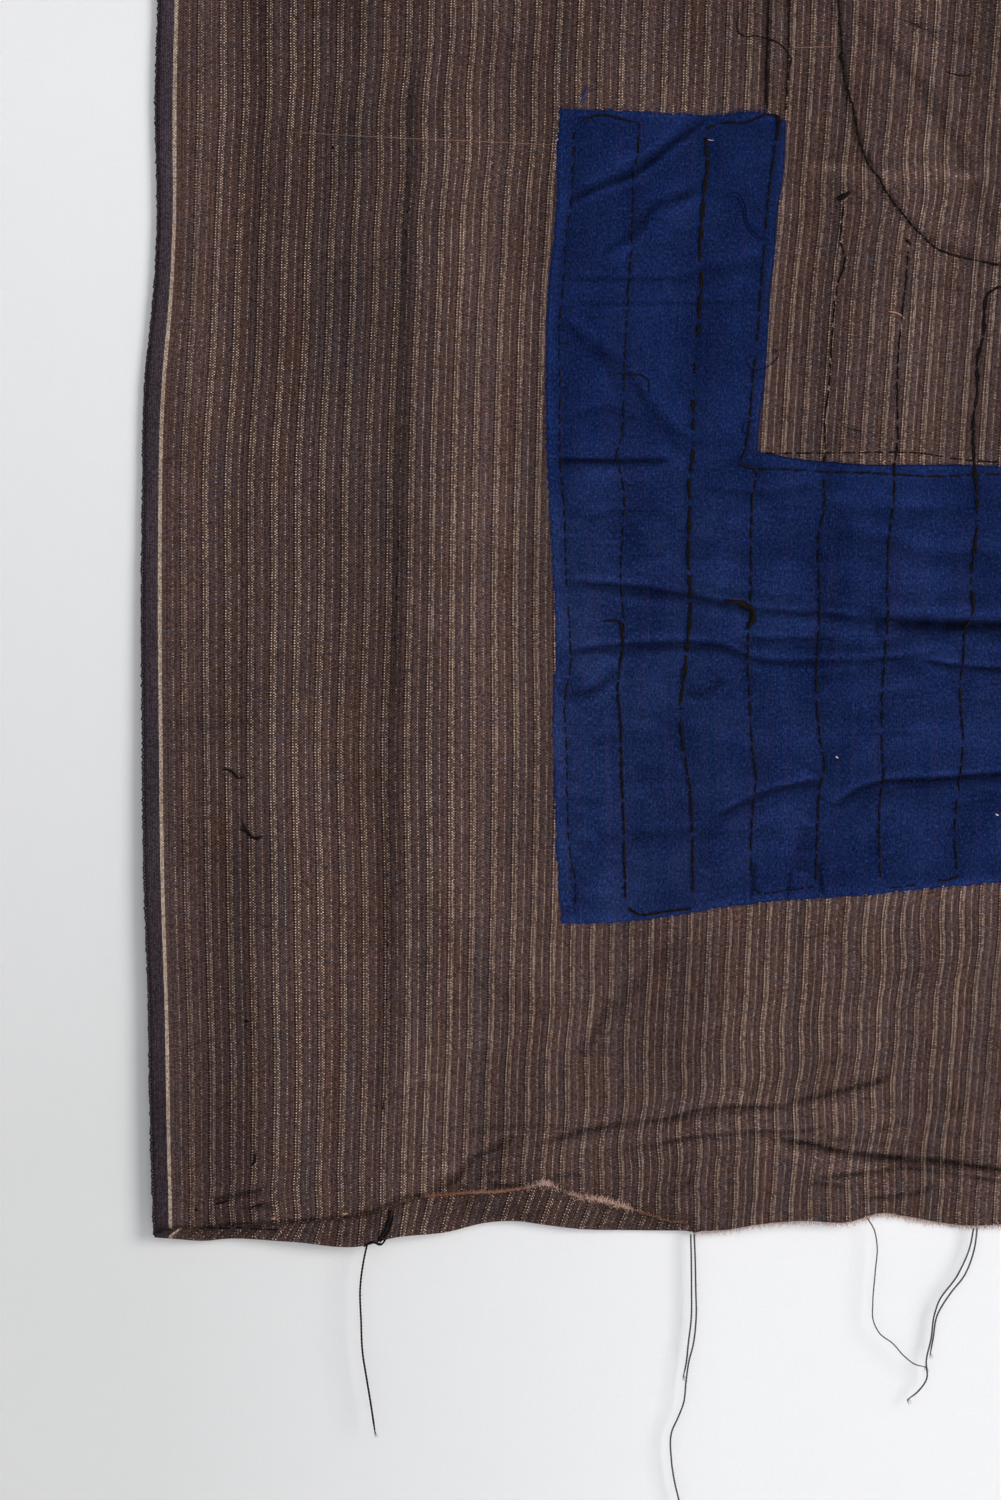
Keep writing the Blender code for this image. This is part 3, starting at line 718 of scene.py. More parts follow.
def makeStripedCotton():
    look = {
        "ground": shade(96, 78, 74), "red": shade(110, 80, 71), "grey": shade(91, 82, 83),
        "gap": shade(22, 8, 6), "dark": shade(42, 28, 26), "pale": shade(220, 194, 172),
        "dimPale": shade(172, 150, 132), "weft": shade(82, 61, 56), "blueWeft": shade(70, 68, 82),
        "selvedge": shade(62, 54, 61), "selvedgeDark": shade(38, 31, 37), "cream": shade(222, 198, 178),
        "paleEnds": (0, 2), "dimEnd": 3, "brokenEnd": 8, "darkEnds": (13, 4, 10), "tan": shade(110, 86, 68),
    }
    material, t, shader = newMaterial("stripedCottonCloth", 0.93, 0.0)
    place = addNode(t, "ShaderNodeUVMap", uv_map="flatCloth").outputs[0]
    endPitch = cloth["repeat"] / cloth["repeatEnds"] * mm
    weave = placeGroup(t, plainWeave, {"Vector": place, "End Pitch": endPitch,
                                       "Pick Pitch": cloth["pick"] * mm, "Wander": 0.0004})
    dye = placeGroup(t, dyeVariation, {"Vector": place, "Band Scale": 150.0, "Cloud Scale": 26.0})
    axes = axesOf(t, place)
    # Where in the stripe's repeat an end lies, and which repeat it is
    firstEnd = round(cloth["firstStripe"] * mm / endPitch)
    counted = minus(t, weave["End Number"], float(firstEnd - 20 * cloth["repeatEnds"]))
    inRepeat = maths(t, "FLOORED_MODULO", counted, float(cloth["repeatEnds"]))
    repeatNumber = maths(t, "FLOOR", divided(t, counted, float(cloth["repeatEnds"])))
    repeatTone = chance(t, repeatNumber)
    endTone = chance(t, weave["End Number"])

    def isEnd(number):
        return maths(t, "COMPARE", inRepeat, float(number), 0.4)

    fullPale = plus(t, isEnd(look["paleEnds"][0]), isEnd(look["paleEnds"][1]))
    broken = noiseOf(t, vectorMaths(t, "MULTIPLY", place, (900.0, 260.0, 1.0)), 1.0, 2.0)
    dim = times(t, isEnd(look["dimEnd"]), remap(t, broken, 0.40, 0.55, 0.40, 0.9))
    single = times(t, isEnd(look["brokenEnd"]), remap(t, broken, 0.38, 0.52, 0.25, 0.85))
    pale = maths(t, "MAXIMUM", fullPale, maths(t, "MAXIMUM", dim, single))
    pale = times(t, pale, remap(t, repeatTone, 0.0, 0.5, 0.6, 1.0))
    # A pale yarn shows only where it lies on top, and then as a small bead
    bead = shareOf(t, weave["Height"], 0.25, 0.60)
    pale = times(t, pale, bead)
    darkEnds = times(t, isEnd(look["darkEnds"][0]), 1.0)
    for number in look["darkEnds"][1:]:
        darkEnds = plus(t, darkEnds, times(t, isEnd(number), 0.55))
    # The ground's mottle
    ground = mixColour(t, shareOf(t, dye["Bands"], 0.38, 0.62), look["red"], look["grey"])
    ground = mixColour(t, shareOf(t, dye["Clouds"], 0.35, 0.65, 0.7), ground, look["ground"])
    ground = mixColour(t, darkEnds, ground, look["dark"])
    ground = mixColour(t, times(t, isEnd(1), 0.5), ground, look["tan"])
    paleYarn = mixColour(t, shareOf(t, weave["Speckle"], 0.0, 0.6), look["dimPale"], look["pale"])
    warp = mixColour(t, pale, ground, paleYarn)
    # Charcoal selvedges and the cream ends beside them
    fromEdge = maths(t, "MINIMUM", axes[0], minus(t, cloth["width"] * mm, axes[0]))
    fromEdge = plus(t, fromEdge, times(t, minus(t, dye["Bands"], 0.5), 0.0004))
    band = maths(t, "LESS_THAN", fromEdge, cloth["selvedge"] * mm)
    # Painted light: the selvedge band is painted up to about twice as light towards its top.
    bandPaintedLight = remap(t, axes[1], 0.20, 0.56, 1.95, 1.02)
    cream = maths(t, "LESS_THAN", fromEdge, (cloth["selvedge"] + 1.30) * mm)
    plainNear = maths(t, "LESS_THAN", fromEdge, (cloth["selvedge"] + 3.2) * mm)
    ribs = maths(t, "SINE", times(t, fromEdge, 2 * math.pi / (0.62 * mm)))
    selvedge = mixColour(t, remap(t, ribs, -1.0, 1.0, 0.0, 1.0), look["selvedgeDark"], look["selvedge"])
    selvedge = darken(t, selvedge, bandPaintedLight)
    warp = mixColour(t, plainNear, warp, ground)
    warp = mixColour(t, cream, warp, look["cream"])
    warp = mixColour(t, band, warp, selvedge)
    # Weft shows at half of the crossings, and hardly at all in the selvedge
    weft = mixColour(t, shareOf(t, dye["Streaks"], 0.50, 0.66, 0.7), look["weft"], look["blueWeft"])
    warpShare = maths(t, "MAXIMUM", weave["Warp On Top"], times(t, band, 0.85))
    warpShare = maths(t, "MAXIMUM", warpShare, times(t, cream, 0.40))
    colour = mixColour(t, warpShare, weft, warp)
    # Painted shade in the pinholes between yarns, uneven yarns, painted shade in furrows and creases, and
    # paler ridges, partly worn and partly a painted highlight
    open = remap(t, weave["Height"], 0.02, 0.42, 1.0, 0.0)
    open = times(t, open, minus(t, 0.80, times(t, band, 0.65)))
    colour = mixColour(t, open, colour, look["gap"])
    tone = remap(t, weave["Speckle"], 0.0, 1.0, 0.50, 1.55)
    tone = times(t, tone, remap(t, endTone, 0.0, 1.0, 0.84, 1.07))
    tone = times(t, tone, remap(t, dye["Clouds"], 0.3, 0.7, 0.84, 1.16))
    # Painted shade: the cloth is painted darker towards its top.
    tone = times(t, tone, remap(t, axes[1], 0.20, 0.38, 0.88, 0.98))
    tone, crease = paintedFoldShade(t, place, tone, 0.60, 1.18, 0.10)
    tone = times(t, tone, remap(t, crease, -1.0, 0.0, 1.6, 1.0))
    t.links.new(darken(t, colour, tone), shader.inputs["Base Color"])
    t.links.new(remap(t, dye["Clouds"], 0.3, 0.7, 0.88, 0.97), shader.inputs["Roughness"])
    clothBump(t, weave["Height"], shader)
    return material


def makeIndigoCotton():
    look = {
        "deep": shade(13, 28, 70), "mid": shade(23, 40, 86), "worn": shade(42, 62, 118),
        "violet": shade(36, 38, 80), "night": shade(5, 12, 36),
    }
    material, t, shader = newMaterial("indigoCottonCloth", 0.92, 0.0)
    place = addNode(t, "ShaderNodeUVMap", uv_map="flatCloth").outputs[0]
    weave = placeGroup(t, plainWeave, {"Vector": place, "End Pitch": 0.50 * mm,
                                       "Pick Pitch": 0.46 * mm, "Wander": 0.0007})
    dye = placeGroup(t, dyeVariation, {"Vector": place, "Band Scale": 420.0, "Cloud Scale": 45.0})
    fine = noiseOf(t, vectorMaths(t, "MULTIPLY", place, (1.0, 0.6, 1.0)), 1500.0, 3.0, 0.7)
    colour = mixColour(t, shareOf(t, dye["Clouds"], 0.34, 0.66), look["deep"], look["mid"])
    colour = mixColour(t, shareOf(t, dye["Bands"], 0.45, 0.75, 0.6), colour, look["violet"])
    colour = mixColour(t, shareOf(t, fine, 0.50, 0.72, 0.8), colour, look["worn"])
    colour = mixColour(t, shareOf(t, fine, 0.46, 0.30, 0.75), colour, look["night"])
    colour = mixColour(t, shareOf(t, dye["Streaks"], 0.52, 0.72, 0.4), colour, look["deep"])
    # The foot has faded more than the arm, most of all at its left
    axes = axesOf(t, place)
    faded = shareOf(t, axes[1], 0.11, 0.16)
    faded = times(t, faded, remap(t, axes[0], 0.0, 0.09, 1.0, 0.25))
    faded = times(t, faded, remap(t, dye["Clouds"], 0.3, 0.6, 0.5, 1.0))
    colour = mixColour(t, faded, colour, (1.9, 1.5, 1.2, 1.0), "MULTIPLY")
    # Painted shade on the yarns: their crowns are painted lighter and their sides darker.
    tone = remap(t, weave["Height"], 0.0, 0.8, 0.52, 1.20)
    tone = times(t, tone, remap(t, weave["Speckle"], 0.0, 1.0, 0.74, 1.28))
    tone = times(t, tone, remap(t, dye["Clouds"], 0.3, 0.7, 0.92, 1.08))
    tone = paintedFoldShade(t, place, tone, 0.50, 1.25, 0.12)[0]
    t.links.new(darken(t, colour, tone), shader.inputs["Base Color"])
    clothBump(t, plus(t, weave["Height"], times(t, fine, 0.8)), shader)
    return material


def makeThreadMaterial(name, dark, light, spread=(0.5, 1.15), sheen=0.0):
    # Twisted plies: a slanting stripe that follows the thread by its own attributes, painted light on the
    # plies' crowns and painted shade in the grooves between them. Fibres have no plies, so their spread lies
    # lower.
    material, t, shader = newMaterial(name, 0.85, sheen)
    along = attributeOf(t, "alongThread")
    around = attributeOf(t, "aroundThread")
    place = addNode(t, "ShaderNodeTexCoord").outputs["Object"]
    turn = plus(t, times(t, along, 2 * math.pi / (1.3 * mm)),
                 times(t, around, 2 * math.pi))
    ply = maths(t, "ABSOLUTE", maths(t, "SINE", turn))
    fibre = noiseOf(t, place, 2600.0, 2.0, 0.7)
    mixed = plus(t, times(t, ply, 0.6), times(t, fibre, 0.6))
    # The colour mixes the plies' painted light and shade with fibre noise.
    colour = mixColour(t, shareOf(t, mixed, *spread), dark, light)
    t.links.new(colour, shader.inputs["Base Color"])
    bump = addNode(t, "ShaderNodeBump", {"Strength": 0.8, "Distance": 0.0001, "Height": ply})
    t.links.new(bump.outputs[0], shader.inputs["Normal"])
    return material


fibreSpread = (0.2, 0.42)
stripedCotton = makeStripedCotton()
indigoCotton = makeIndigoCotton()
blackThread = makeThreadMaterial("blackSewingThread", shade(3, 3, 4), shade(70, 60, 58), (0.72, 1.15))
darkBlue = makeThreadMaterial("indigoThread", shade(3, 8, 30), shade(22, 36, 84))
greyThread = makeThreadMaterial("fadedGreyThread", shade(26, 26, 30), shade(98, 94, 97), (0.35, 1.0))
darkLoops = makeThreadMaterial("selvedgeWeft", shade(22, 14, 18), shade(56, 44, 50), fibreSpread)
pinkFray = makeThreadMaterial("frayedCotton", shade(150, 98, 80), shade(240, 208, 192), fibreSpread, 0.1)
paleFray = makeThreadMaterial("frayedPaleCotton", shade(206, 160, 142), shade(255, 236, 222),
                              fibreSpread, 0.1)
orangeFray = makeThreadMaterial("frayedRustCotton", shade(116, 70, 50), shade(198, 142, 112),
                                fibreSpread, 0.1)
brownFray = makeThreadMaterial("frayedBrownCotton", shade(78, 56, 50), shade(136, 108, 96), fibreSpread)
blueFray = makeThreadMaterial("frayedIndigo", shade(12, 24, 62), shade(42, 60, 116), fibreSpread)
print("materials made")


# Sheets of cloth

def newObject(name, data):
    obj = bpy.data.objects.new(name, data)
    bpy.context.scene.collection.objects.link(obj)
    return obj


def storeFloats(mesh, name, values):
    layer = mesh.attributes.new(name, "FLOAT", "POINT")
    layer.data.foreach_set("value", values.astype(np.float32))


def foldDepthOf(points, reach):
    # Furrows are below their surroundings and ridges above: relief less its local mean.
    relief = -points[..., 1] / mm
    mean = relief.copy()
    for _ in range(reach):
        padded = np.pad(mean, 1, mode="reflect", reflect_type="odd")
        mean = (padded[:-2, 1:-1] + padded[2:, 1:-1] + padded[1:-1, :-2] + padded[1:-1, 2:]) / 4
    return np.clip((relief - mean) / 0.35, -1, 1)


def makeSheet(name, points, flat, shade, thickness, material, keep=None):
    # points and flat are grids: rows run down and columns run across.
    rows, columns = points.shape[:2]
    numbers = np.arange(rows * columns).reshape(rows, columns)
    corners = np.stack([numbers[:-1, :-1], numbers[1:, :-1], numbers[1:, 1:], numbers[:-1, 1:]], axis=-1)
    corners = corners[keep] if keep is not None else corners.reshape(-1, 4)
    used, corners = np.unique(corners, return_inverse=True)
    corners = corners.reshape(-1, 4)
    mesh = bpy.data.meshes.new(name)
    mesh.from_pydata(points.reshape(-1, 3)[used].tolist(), [], corners.tolist())
    layer = mesh.uv_layers.new(name="flatCloth")
    layer.data.foreach_set("uv", (flat.reshape(-1, 2)[used][corners] * mm).astype(np.float32).ravel())
    storeFloats(mesh, "foldDepth", foldDepthOf(points, 14).reshape(-1)[used])
    storeFloats(mesh, "creaseShade", shade.reshape(-1)[used])
    mesh.shade_smooth()
    mesh.materials.append(material)
    obj = newObject(name, mesh)
    if thickness:
        solidify = obj.modifiers.new("thickness", "SOLIDIFY")
        solidify.thickness = thickness * mm
        solidify.offset = 0.0
    return obj


hemRows = {"turn": 8, "rise": 10}


def clothGrid():
    look = {"leftColumns": 54, "rightColumns": 127, "splitAt": 135.0,
            "topRows": 26, "middleRows": 110, "lowRows": 26, "bottomRows": 62,
            "middleFrom": 187.0, "lowFrom": 478.0, "bottomFrom": 540.0}
    left = np.linspace(0, look["splitAt"], look["leftColumns"] + 1)
    right = np.linspace(look["splitAt"], cloth["width"], look["rightColumns"] + 1)
    flatAcross = np.concatenate([left, right[1:]])
    upper = np.concatenate([
        np.linspace(0, look["middleFrom"], look["topRows"] + 1),
        np.linspace(look["middleFrom"], look["lowFrom"], look["middleRows"] + 1)[1:],
        np.linspace(look["lowFrom"], look["bottomFrom"], look["lowRows"] + 1)[1:],
    ])
    share = np.linspace(0, 1, look["bottomRows"] + 1)[1:]
    acrossAtTurn = acrossOf(flatAcross, np.full(flatAcross.shape, 596.0))
    lower = look["bottomFrom"] + share[:, None] * (turnLine(acrossAtTurn)[None, :] - look["bottomFrom"])
    down = np.concatenate([np.repeat(upper[:, None], len(flatAcross), axis=1), lower])
    across = acrossOf(np.broadcast_to(flatAcross, down.shape), down)
    flatDown = down.copy()
    # Past the turn the cloth is followed round the fold and up the front
    turned = hemShare(across[-1])
    bendStart = 2.0 * (1 - turned)
    turnLength = 1.2 + (math.pi * cloth["turnRadius"] - 1.2) * turned
    riseLength = np.maximum(0.8, (down[-1] - hemTop(across[-1])) * turned)
    steps = np.concatenate([np.arange(1, hemRows["turn"] + 1) / hemRows["turn"],
                            1 + np.arange(1, hemRows["rise"] + 1) / hemRows["rise"]])
    hemDown = []
    hemForward = []
    hemFlat = []
    hemAcross = []
    # The hem is turned up askew, so its stripes lean
    lean = readTable(hemLean, across[-1])
    for step in steps:
        travelled = turnLength * min(step, 1.0) + riseLength * max(0.0, step - 1.0)
        angle = np.clip((travelled - bendStart) / cloth["turnRadius"], 0, math.pi)
        risen = np.maximum(0, travelled - bendStart - math.pi * cloth["turnRadius"])
        sunk = np.minimum(travelled, bendStart) + cloth["turnRadius"] * np.sin(angle)
        hemDown.append(down[-1] + sunk - risen)
        hemForward.append(cloth["turnRadius"] * (1 - np.cos(angle)))
        hemFlat.append(flatDown[-1] + travelled)
        hemAcross.append(across[-1] + lean * risen)
    # Along the hem's raw edge the cloth behind is in its shadow
    shade = creaseEffect(clothCreases, across, down)[1]
    edge = np.exp(-(((down - hemTop(across)) / 0.8) ** 2)) * hemShare(across) * smoothStep(across / 12)
    shade = np.where(0.95 * edge > np.abs(shade), 0.95 * edge, shade)
    hemShade = turned * (0.30 + 0.25 * np.exp(-((np.array(hemDown) - hemTop(across[-1])) / 1.2) ** 2))
    shade = np.concatenate([shade, hemShade])
    forward = np.concatenate([np.zeros(down.shape), np.array(hemForward)])
    down = np.concatenate([down, np.array(hemDown)])
    across = np.concatenate([across, np.array(hemAcross)])
    flatDown = np.concatenate([flatDown, np.array(hemFlat)])
    return flatAcross, flatDown, across, down, forward, shade


flatAcross, flatDown, clothAcross, clothDown, clothForward, clothShade = clothGrid()
hidden = onPatch(clothAcross, clothDown)
for shiftAcross, shiftDown in ((-4, 0), (4, 0), (0, -4), (0, 4)):
    hidden &= onPatch(clothAcross + shiftAcross, clothDown + shiftDown)
clothLie = clothRelief(clothAcross, clothDown) + clothForward - 0.7 * hidden
clothPoints = toWorld(clothAcross, clothDown, clothLie)
clothFlat = np.stack([np.broadcast_to(flatAcross, flatDown.shape), flatDown], axis=-1)
stripedCloth = makeSheet("stripedClothVisual", clothPoints, clothFlat, clothShade,
                         cloth["thickness"], stripedCotton)
print("striped cloth laid on its folds")


def patchGrid():
    columns = patch["columns"]
    rows = patch["rows"]
    column = np.arange(sum(columns) + 1)[None, :]
    row = np.arange(sum(rows) + 1)[:, None]
    across = np.broadcast_to(170.0, (sum(rows) + 1, sum(columns) + 1)).copy()
    down = np.broadcast_to(350.0, across.shape).copy()
    for _ in range(5):
        left, middle, right = (readTable(side, down) for side in (patchLeft, armRight, patchRight))
        armShare = np.clip(column / columns[0], 0, 1)
        footShare = np.clip((column - columns[0]) / columns[1], 0, 1)
        across = left + (middle - left) * armShare + (right - middle) * footShare
        top, inner, bottom = (readTable(side, across) for side in (patchTop, innerEdge, patchBottom))
        armDown = np.clip(row / rows[0], 0, 1)
        footDown = np.clip((row - rows[0]) / rows[1], 0, 1)
        down = top + (inner - top) * armDown + (bottom - inner) * footDown
    # Raw edges are never straight: a small ragged shift that dies away inside
    rng = np.random.default_rng(5)
    width = 168.0 / sum(columns)
    raggedAcross = rng.normal(0, 0.22, across.shape[0])
    raggedDown = rng.normal(0, 0.22, across.shape[1])
    for edge, inward in ((0, 1), (-1, -1)):
        for depth, share in enumerate((1.0, 0.5)):
            across[:, edge + inward * depth] += raggedAcross * share
            down[edge + inward * depth, :] += raggedDown * share
    flat = np.stack(np.broadcast_arrays(column * width, row * width), axis=-1)
    cellColumn = np.arange(sum(columns))[None, :]
    cellRow = np.arange(sum(rows))[:, None]
    keep = (cellColumn < columns[0]) | (cellRow >= rows[0])
    return across, down, flat, keep


patchAcross, patchDown, patchFlat, patchKeep = patchGrid()
patchLie = patchRelief(patchAcross, patchDown)
# Its raw edges turn down onto the cloth
edgeColumn, edgeRow = patch["columns"][0], patch["rows"][0]
for border in ((slice(None), 0), (slice(None), -1), (0, slice(None)), (-1, slice(None)),
               (slice(0, edgeRow + 1), edgeColumn), (edgeRow, slice(edgeColumn, None))):
    patchLie[border] = clothRelief(patchAcross[border], patchDown[border]) + 0.3
patchPoints = toWorld(patchAcross, patchDown, patchLie)
patchShade = creaseEffect(patchCreases, patchAcross, patchDown)[1]
indigoPatch = makeSheet("indigoPatchVisual", patchPoints, patchFlat, patchShade, 0.0, indigoCotton, patchKeep)
print("indigo patch laid over it")


# Threads made by Geometry Nodes

def newGeometryTree(name, inputs):
    return newGroup(name, "GeometryNodeTree", [("Geometry", "NodeSocketGeometry", None), *inputs],
                    [("Geometry", "NodeSocketGeometry")])


def geometryNoise(tree, value, scale, seed):
    return noiseOf(tree, plus(tree, times(tree, value, scale), seed), 1.0, 1.0, 0.5, "1D")


def hostCurve(tree, given):
    return addNode(tree, "GeometryNodeMeshToCurve", {"Mesh": given["Geometry"]}).outputs[0]


def pointsAlong(tree, given):
    values = {"Curve": hostCurve(tree, given), "Length": given["Spacing"]}
    return addNode(tree, "GeometryNodeCurveToPoints", values, mode="LENGTH").outputs[0]


def moveBy(tree, geometry, offset):
    return addNode(tree, "GeometryNodeSetPosition", {"Geometry": geometry, "Offset": offset}).outputs[0]


def randomVector(tree, low, high, seed):
    values = {0: low, 1: high, "Seed": seed}
    return addNode(tree, "FunctionNodeRandomValue", values, data_type="FLOAT_VECTOR").outputs[0]


def randomFloat(tree, low, high, seed):
    values = {2: low, 3: high, "Seed": seed}
    return addNode(tree, "FunctionNodeRandomValue", values, data_type="FLOAT").outputs[1]


def alongSpline(tree, measure):
    return addNode(tree, "GeometryNodeSplineParameter").outputs[measure]


def ringOf(tree, count, radius):
    values = {"Resolution": count, "Radius": radius}
    return addNode(tree, "GeometryNodeCurvePrimitiveCircle", values).outputs[0]


def sweep(tree, curve, ring, scale=1.0):
    values = {"Curve": curve, "Profile Curve": ring, "Scale": scale, "Fill Caps": True}
    return addNode(tree, "GeometryNodeCurveToMesh", values).outputs[0]


def mark(tree, curve, name, value):
    values = {"Geometry": curve, "Name": name, "Value": value}
    return addNode(tree, "GeometryNodeStoreNamedAttribute", values, data_type="FLOAT").outputs[0]


def markTube(tree, curve, profileCount, radius, scale):
    # Sweeps a round profile, and stores how far along and around the thread a point is.
    marked = mark(tree, curve, "alongThread", alongSpline(tree, "Length"))
    ring = mark(tree, ringOf(tree, profileCount, radius), "aroundThread", alongSpline(tree, "Factor"))
    return sweep(tree, marked, ring, scale)


def placeOn(tree, points, instance, rotation, scale):
    values = {"Points": points, "Instance": instance, "Rotation": rotation, "Scale": scale}
    return addNode(tree, "GeometryNodeInstanceOnPoints", values).outputs[0]


def finishTree(tree, mesh, material, leave):
    smooth = addNode(tree, "GeometryNodeSetShadeSmooth", {"Geometry": mesh, "Shade Smooth": True})
    real = addNode(tree, "GeometryNodeRealizeInstances", {"Geometry": smooth.outputs[0]})
    painted = addNode(tree, "GeometryNodeSetMaterial", {"Geometry": real.outputs[0], "Material": material})
    tree.links.new(painted.outputs[0], leave["Geometry"])


def makeRunningStitch():
    # A sewing thread along a line on the cloth: long stitches in front, short dives behind.
    tree, given, leave = newGeometryTree("runningStitch", [
        ("Pitch", "NodeSocketFloat", 0.006), ("Gap Share", "NodeSocketFloat", 0.2),
        ("Lift", "NodeSocketFloat", 0.0003), ("Dive", "NodeSocketFloat", 0.0006),
        ("Radius", "NodeSocketFloat", 0.00028), ("Seed", "NodeSocketFloat", 0.0),
        ("Material", "NodeSocketMaterial", None),
    ])
    sampling = {"Curve": hostCurve(tree, given), "Length": 0.00035}
    fine = addNode(tree, "GeometryNodeResampleCurve", sampling, mode="LENGTH").outputs[0]
    length = alongSpline(tree, "Length")
    wander = minus(tree, geometryNoise(tree, length, 90.0, given["Seed"]), 0.5)
    phase = plus(tree, divided(tree, length, given["Pitch"]), times(tree, wander, 1.6))
    share = maths(tree, "FRACT", phase)
    front = minus(tree, 1.0, given["Gap Share"])
    within = maths(tree, "MINIMUM", divided(tree, share, front), 1.0)
    rise = maths(tree, "MAXIMUM", maths(tree, "SINE", times(tree, within, math.pi)), 0.0)
    arch = maths(tree, "POWER", rise, 0.4)
    inFront = maths(tree, "LESS_THAN", share, front)
    up = times(tree, times(tree, arch, given["Lift"]), inFront)
    down = times(tree, minus(tree, 1.0, arch), given["Dive"])
    behind = times(tree, minus(tree, 1.0, inFront), given["Dive"])
    height = minus(tree, minus(tree, up, times(tree, down, inFront)), behind)
    drift = geometryNoise(tree, length, 420.0, plus(tree, given["Seed"], 40.0))
    side = times(tree, minus(tree, drift, 0.5), 0.0007)
    moved = moveBy(tree, fine, combine(tree, side, times(tree, height, -1.0), 0.0))
    girth = geometryNoise(tree, length, 700.0, plus(tree, given["Seed"], 80.0))
    scale = times(tree, remap(tree, girth, 0.3, 0.7, 0.72, 1.28), remap(tree, arch, 0.0, 0.8, 0.75, 1.0))
    tube = markTube(tree, moved, 7, given["Radius"], scale)
    finishTree(tree, tube, given["Material"], leave)
    return tree


def makeFrayedEdge():
    # Short loose fibres that stand out of a raw edge, with their own lengths and bends.
    tree, given, leave = newGeometryTree("frayedEdge", [
        ("Spacing", "NodeSocketFloat", 0.0004), ("Shortest", "NodeSocketFloat", 0.0006),
        ("Longest", "NodeSocketFloat", 0.0024), ("Spread", "NodeSocketFloat", 0.5),
        ("Radius", "NodeSocketFloat", 0.00012), ("Scatter", "NodeSocketFloat", 0.0003),
        ("Heading", "NodeSocketVector", (0.0, 0.0, -1.0)), ("Seed", "NodeSocketInt", 0),
        ("Material", "NodeSocketMaterial", None),
    ])
    sectionRadius = 0.06
    least, most = (-1, -1, -1), (1, 1, 1)

    def seedOf(shift):
        return plus(tree, given["Seed"], float(shift))

    points = pointsAlong(tree, given)
    reach = combine(tree, given["Scatter"], given["Scatter"], given["Scatter"])
    jitter = vectorMaths(tree, "MULTIPLY", randomVector(tree, least, most, seedOf(1)), reach)
    points = moveBy(tree, points, jitter)
    leaning = {0: randomVector(tree, least, most, seedOf(2)), "Scale": given["Spread"]}
    lean = addNode(tree, "ShaderNodeVectorMath", leaning, operation="SCALE").outputs[0]
    heading = vectorMaths(tree, "ADD", given["Heading"], lean)
    aimed = addNode(tree, "FunctionNodeAlignRotationToVector", {"Vector": heading}, axis="Z").outputs[0]
    spin = combine(tree, 0.0, 0.0, randomFloat(tree, 0.0, 2 * math.pi, seedOf(3)))
    turning = {0: aimed, 1: addNode(tree, "FunctionNodeEulerToRotation", {0: spin}).outputs[0]}
    spun = addNode(tree, "FunctionNodeRotateRotation", turning, rotation_space="LOCAL").outputs[0]
    length = randomFloat(tree, given["Shortest"], given["Longest"], seedOf(4))
    bending = {"Resolution": 4, "Start": (0, 0, 0), "Middle": (0.0, 0.0, 0.6), "End": (0.45, 0.0, 1.0)}
    bend = addNode(tree, "GeometryNodeCurveQuadraticBezier", bending).outputs[0]
    taper = remap(tree, alongSpline(tree, "Factor"), 0.0, 1.0, 1.0, 0.35)
    fibre = sweep(tree, bend, ringOf(tree, 3, sectionRadius), taper)
    # Width stays that of a fibre whatever its length
    width = divided(tree, given["Radius"], sectionRadius)
    placed = placeOn(tree, points, fibre, spun, combine(tree, width, width, length))
    finishTree(tree, placed, given["Material"], leave)
    return tree


def makeWeftLoops():
    # The weft's turns at a selvedge: a small loop at every other pick.
    tree, given, leave = newGeometryTree("weftLoops", [
        ("Spacing", "NodeSocketFloat", 0.0011), ("Loop Radius", "NodeSocketFloat", 0.00055),
        ("Thread Radius", "NodeSocketFloat", 0.0002), ("Outward", "NodeSocketFloat", 1.0),
        ("Material", "NodeSocketMaterial", None),
    ])
    points = pointsAlong(tree, given)
    jitter = randomVector(tree, (-0.0001, -0.0001, -0.0002), (0.0001, 0.0001, 0.0002), 9)
    points = moveBy(tree, points, jitter)
    arcShape = {"Resolution": 7, "Radius": given["Loop Radius"],
                "Start Angle": math.radians(70), "Sweep Angle": math.radians(220)}
    arc = addNode(tree, "GeometryNodeCurveArc", arcShape).outputs[0]
    loop = sweep(tree, arc, ringOf(tree, 5, given["Thread Radius"]))
    stood = combine(tree, math.pi / 2, 0.0, 0.0)
    rotation = addNode(tree, "FunctionNodeEulerToRotation", {0: stood}).outputs[0]
    swell = randomFloat(tree, 0.65, 1.25, 4)
    size = combine(tree, times(tree, swell, given["Outward"]), 1.0, 1.0)
    placed = placeOn(tree, points, loop, rotation, size)
    finishTree(tree, placed, given["Material"], leave)
    return tree


def routeHost(name, places):
    # A line of edges for a tree to work on. places are world points.
    mesh = bpy.data.meshes.new(name)
    edges = [(number, number + 1) for number in range(len(places) - 1)]
    mesh.from_pydata([tuple(map(float, place)) for place in places], edges, [])
    return newObject(name, mesh)


def growFrom(host, tree, values):
    # Runs a tree on a host object and leaves the plain mesh that it makes.
    modifier = host.modifiers.new("grow", "NODES")
    modifier.node_group = tree
    sockets = {item.name: item.identifier for item in tree.interface.items_tree if item.in_out == "INPUT"}
    for label, value in values.items():
        modifier[sockets[label]] = value
    bpy.context.view_layer.update()
    evaluated = host.evaluated_get(bpy.context.evaluated_depsgraph_get())
    mesh = bpy.data.meshes.new_from_object(evaluated)
    host.modifiers.remove(modifier)
    old = host.data
    host.data = mesh
    bpy.data.meshes.remove(old)
    return host


def joinPieces(name, parts):
    # One object from several, so that a kind of sewing is one piece.
    bpy.ops.object.select_all(action="DESELECT")
    for part in parts:
        part.select_set(True)
    bpy.context.view_layer.objects.active = parts[0]
    if len(parts) > 1:
        bpy.ops.object.join()
    parts[0].name = name
    parts[0].data.name = name
    return parts[0]


runningStitch = makeRunningStitch()
frayedEdge = makeFrayedEdge()
weftLoops = makeWeftLoops()
print("geometry trees built")

